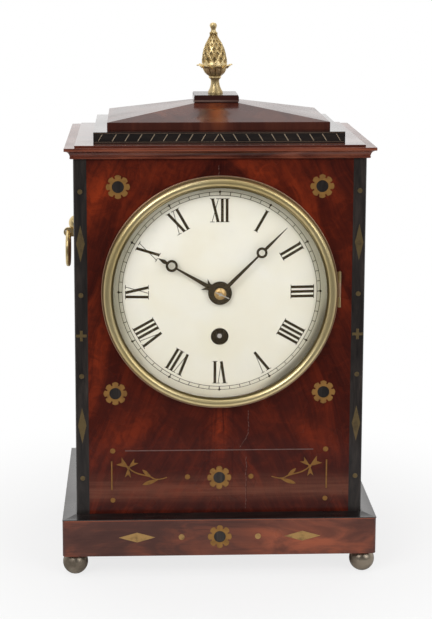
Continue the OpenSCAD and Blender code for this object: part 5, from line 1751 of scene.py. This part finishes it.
@dataclass
class HourHand(Part):
    """The hour hand, pushed on its pipe so that it lags a little behind the minute hand.

    Attributes:
        back: How far it is turned back, in degrees.
    """

    back: float = 2.9

    def build(self, hub: Point) -> None:
        """Copy the hand and turn it on the dial's middle.

        Args:
            hub: Middle of the dial, in millimetres.
        """
        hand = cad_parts["hour_hand"]
        piece = bpy.data.objects.new("hour_hand_set", hand.data.copy())
        bpy.context.scene.collection.objects.link(piece)
        middle = moved(*hub)
        piece.matrix_world = middle @ spun(-self.back, "Y") @ middle.inverted() @ hand.matrix_world
        finish(tidy(settle(piece)), self.paints.blued, Body.HOUR, 30, ("hour_hand",))


@dataclass
class Movement(Part):
    """The fusee movement with its motion work, minute hand and pendulum, and the bezel's catch."""

    def build(self) -> None:
        """Dress the movement."""
        dress(self.paints.works, "cannon_wheel", "minute_wheel", "hour_wheel", "back_plate", "pillars",
              "great_wheel", "spring_barrel", "third_wheel", "escape_wheel", "back_cock", "rating_nut",
              "bezel_catch")
        dress(self.paints.plate, "front_plate")
        dress(self.paints.fusee, "fusee")
        dress(self.paints.steel, "barrel_arbor", "centre_arbor", "anchor", "pendulum_rod", "seat_bolts",
              "taper_pin")
        dress(self.paints.brass, "pendulum_bob")
        dress(self.paints.collet, "hand_collet")
        dress(self.paints.blued, "minute_hand")
        dress(self.paints.gut, "gut_line")


@dataclass
class Bezel(Part):
    """The hinged brass bezel, spun as one half-round ring, with its domed glass.

    Attributes:
        wide: Width of the ring.
        rebate: Width of the lip that holds the glass.
        lip: Height of the lip's back above the board.
        gap: Gap to the board.
        tube: Half width and half height of the round.
        knuckle: Radius of the hinge's knuckle.
        tab: Length of the tab between the knuckle and the ring.
        pin_out: Distance of the hinge pin beyond the rim.
        pin_up: Height of the hinge pin above the board.
        share: Share of the hinge's height that the middle knuckle takes.
        bead: Radius of the bead round the rim.
        bead_up: Height of the bead's middle above the board.
        groove: Distance from the rim to the far side of the groove.
    """

    wide: float = 11.0
    rebate: float = 2.15
    lip: float = 6.65
    gap: float = 0.3
    tube: Pair = (4.0, 4.4)
    knuckle: float = 1.5
    tab: float = 4.0
    pin_out: float = 1.0
    pin_up: float = 1.7
    share: float = 0.4
    bead: float = 0.55
    bead_up: float = 1.9
    groove: float = 1.6

    def ring(self, outer: float, high: float) -> Piece:
        """Turn the ring, with a beaded rim, a groove and the half-round.

        Args:
            outer: Radius of the rim.
            high: Height of the round above the board.

        Returns:
            The ring, with its axis upright.
        """
        sight = outer - self.wide
        across, up = self.tube
        out = outer - self.groove - across
        back = [(sight + self.rebate, self.gap), (outer, self.gap), (outer, self.bead_up)]
        bead = [(outer - self.bead + self.bead * math.cos(a), self.bead_up + self.bead * math.sin(a))
                for a in (0.5, 1.0, 1.57, 2.1, 2.7)]
        foot = [(outer - 1.2, 1.75), (outer - self.groove, 1.8)]
        turns = [math.radians(a) for a in range(-6, 157, 9)]
        half_round = [(out + across * math.cos(a), high - up + up * math.sin(a)) for a in turns]
        inner = [(sight + 1.2, self.lip + 0.45), (sight + 0.7, self.lip + 0.7), (sight + 0.2, self.lip + 0.6),
                 (sight, self.lip + 0.3), (sight, self.lip), (sight + self.rebate, self.lip)]
        profile = back + bead + foot + half_round + inner
        return turned("bezel_ring", profile + profile[:1], 144)

    def barrel(self, tall: float) -> Piece:
        """Roll the middle knuckle and its tab, with the pin's line upright at the origin.

        Args:
            tall: Height of the knuckle.

        Returns:
            The knuckle and tab.
        """
        clear()
        bpy.ops.mesh.primitive_cylinder_add(vertices=24, radius=self.knuckle * MM, depth=tall * MM)
        roll = shape(added("knuckle"), "BEVEL", width=0.15 * MM, segments=2, limit_method="ANGLE")
        clear()
        bpy.ops.mesh.primitive_cube_add(size=1)
        leaf = added("tab")
        deep = self.pin_up - self.gap
        leaf.matrix_world = moved(-self.tab / 2, deep / 2, 0) @ sized(self.tab, deep, tall)
        return join("knuckle", [roll, shape(settle(leaf), "BEVEL", width=0.12 * MM, segments=1)])

    def build(self) -> None:
        """Make the ring with its knuckle, and dress the hinge and both glasses."""
        low, high = extent("bezel")
        hinge_low, hinge_high = extent("bezel_hinge")
        outer = (high.z - low.z) / 2
        board = high.y + self.gap
        middle = low.x + outer
        ring = self.ring(outer, board - low.y)
        ring.matrix_world = facing((middle, board, (low.z + high.z) / 2))
        knuckle = self.barrel((hinge_high.z - hinge_low.z) * self.share)
        pin_z = (hinge_low.z + hinge_high.z - 1) / 2
        knuckle.matrix_world = moved(middle + outer + self.pin_out, board - self.pin_up, pin_z)
        piece = join("bezel_spun", [ring, knuckle])
        finish(piece, self.paints.rim, Body.BEZEL, 35, ("bezel",))
        dress(self.paints.brass, "bezel_hinge")
        dress(self.paints.glass, "bezel_glass", "rear_door_glass")


@dataclass
class Studio:
    """The pale floor, the soft lamps, the white surroundings and the camera.

    Attributes:
        eye: Where the camera stands, in millimetres.
        heading: Degrees that it looks to the right of straight ahead.
        dip: Degrees that it looks down.
        lens: Focal length on a 36 mm wide sensor.
        lift: Vertical shift of the lens, as a share of the picture's height.
        slide: Sideways shift of the lens, as a share of the picture's height.
        aim: The point that every lamp faces, in metres.
    """

    eye: Point = (-77.08, -1500.0, 588.3)
    heading: float = 1.75
    dip: float = 8.746
    lens: float = 90.244
    lift: float = -0.2
    slide: float = 0.053
    aim: Point = (0.0, 0.0, 0.25)

    def camera(self) -> None:
        """Stand the camera where the picture was taken from."""
        data = bpy.data.cameras.new("camera")
        data.lens = self.lens
        data.sensor_width = 36.0
        data.sensor_fit = "AUTO"
        data.shift_x = self.slide
        data.shift_y = self.lift
        data.clip_end = 100
        eye = bpy.data.objects.new("camera", data)
        bpy.context.scene.collection.objects.link(eye)
        eye.location = Vector(self.eye) * MM
        eye.rotation_euler = (math.radians(90 - self.dip), 0, math.radians(-self.heading))
        bpy.context.scene.camera = eye

    def lamp(self, name: str, place: Point, size: Pair, power: float) -> None:
        """Hang one soft box that faces the clock.

        Args:
            name: The lamp's name.
            place: Where it hangs, in metres.
            size: Its width and height in metres.
            power: Its power in watts.
        """
        data = bpy.data.lights.new(name, "AREA")
        data.shape = "RECTANGLE"
        data.size, data.size_y = size
        data.energy = power
        lamp = bpy.data.objects.new(name, data)
        bpy.context.scene.collection.objects.link(lamp)
        lamp.location = place
        lamp.rotation_mode = "QUATERNION"
        lamp.rotation_quaternion = (Vector(self.aim) - Vector(place)).to_track_quat("-Z", "Y")

    def surroundings(self) -> None:
        """Fill the room with even light, which the camera sees as white.

        Polished faces mirror it as white behind the clock and as darker before it.
        """
        world = bpy.data.worlds.new("room")
        bpy.context.scene.world = world
        world.use_nodes = True
        tree = world.node_tree
        tree.nodes.clear()
        out = tree.nodes.new("ShaderNodeOutputWorld")
        path = tree.nodes.new("ShaderNodeLightPath")
        place = tree.nodes.new("ShaderNodeTexCoord")
        parts = tree.nodes.new("ShaderNodeSeparateXYZ")
        tree.links.new(place.outputs["Generated"], parts.inputs[0])
        front = tree.nodes.new("ShaderNodeMapRange")
        front.interpolation_type = "SMOOTHSTEP"
        tree.links.new(parts.outputs[1], front.inputs[0])
        for socket, value in zip(front.inputs[1:5], (-0.7, 0.6, 0.1, 1.0)):
            socket.default_value = value
        seen = self.shade(tree, (1, 1, 1, 1), 1.0)
        shine = self.shade(tree, (1.0, 0.985, 0.975, 1), 1.0)
        tree.links.new(front.outputs[0], shine.inputs["Strength"])
        fill = self.shade(tree, (1.0, 0.99, 0.97, 1), 0.36)
        first = tree.nodes.new("ShaderNodeMixShader")
        second = tree.nodes.new("ShaderNodeMixShader")
        straight = tree.nodes.new("ShaderNodeMath")
        straight.operation = "MAXIMUM"
        wires = (
            (path.outputs["Is Camera Ray"], straight.inputs[0]),
            (path.outputs["Is Transmission Ray"], straight.inputs[1]),
            (path.outputs["Is Glossy Ray"], first.inputs[0]),
            (fill.outputs[0], first.inputs[1]),
            (shine.outputs[0], first.inputs[2]),
            (straight.outputs[0], second.inputs[0]),
            (first.outputs[0], second.inputs[1]),
            (seen.outputs[0], second.inputs[2]),
            (second.outputs[0], out.inputs["Surface"]))
        for start, end in wires:
            tree.links.new(start, end)

    def shade(self, tree: bpy.types.NodeTree, tint: Colour, strength: float) -> bpy.types.Node:
        """Add a background shader of one colour.

        Args:
            tree: The world's node tree.
            tint: Its colour.
            strength: Its strength.

        Returns:
            The shader's node.
        """
        node = tree.nodes.new("ShaderNodeBackground")
        node.inputs["Color"].default_value = tint
        node.inputs["Strength"].default_value = strength
        return node

    def floor(self) -> None:
        """Lay the pale floor, which fades to white away from the clock and keeps its shadow."""
        clear()
        bpy.ops.mesh.primitive_circle_add(vertices=96, radius=0.5, fill_type="NGON")
        ground = added("floor")
        n = Nodes("floor_white")
        n.set(Base_Color=(0.9, 0.9, 0.9, 1.0), Roughness=0.9, Specular_IOR_Level=0.1)
        x, y, _ = n.axes()
        far = n.away(x, y)
        seen = n.add("LightPath").outputs["Is Camera Ray"]
        share = n.times(n.step(far, 0.15, 0.42, 0.78, 1.0), seen)
        n.blend(share, n.add("Emission", Color=(1, 1, 1, 1), Strength=1.0))
        ground.data.materials.append(n.material)

    def build(self) -> None:
        """Set up the floor, the room and the lamps."""
        self.floor()
        self.surroundings()
        self.lamp("key_box", (-1.5, -1.9, 1.9), size=(1.4, 1.4), power=28)
        self.lamp("fill_box", (1.7, -1.8, 1.4), size=(1.4, 1.6), power=17)
        self.lamp("top_box", (0.0, 0.2, 2.4), size=(1.8, 1.8), power=12.5)
        bpy.context.scene.view_settings.view_transform = "Standard"


def main() -> None:
    """Build the studio and every part of the clock in order."""
    logging.basicConfig(level=logging.INFO, format="%(name)s: %(message)s")
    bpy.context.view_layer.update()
    studio = Studio()
    studio.camera()
    arbor_low, arbor_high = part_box("hand_collet")
    hub = ((arbor_low.x + arbor_high.x) / 2 / MM, arbor_low.y / MM, (arbor_low.z + arbor_high.z) / 2 / MM)
    wheel_low, wheel_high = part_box("great_wheel")
    winding = ((wheel_low.x + wheel_high.x) / 2 / MM, (wheel_low.z + wheel_high.z) / 2 / MM)
    paints = Paintbox(hub, winding)
    Casework(paints).build()
    Feet(paints).build()
    Rosettes(paints).build()
    FretSilk(paints).build()
    Dial(paints, (0.0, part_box("dial")[0].y / MM, hub[2])).build()
    Movement(paints).build()
    HandRing(paints, "minute_hand_ring", "minute_hand", Body.MINUTE,
             away=54.3, turn=45.0, hole=2.85, outer=3.55).build(hub)
    HandRing(paints, "hour_hand_ring", "hour_hand", Body.HOUR,
             away=51.7, turn=300.1, hole=3.35, outer=4.0).build(hub)
    HourHand(paints).build(hub)
    Bezel(paints).build()
    Finial(paints).build()
    studio.build()
    clear()


if __name__ == "__main__":
    main()
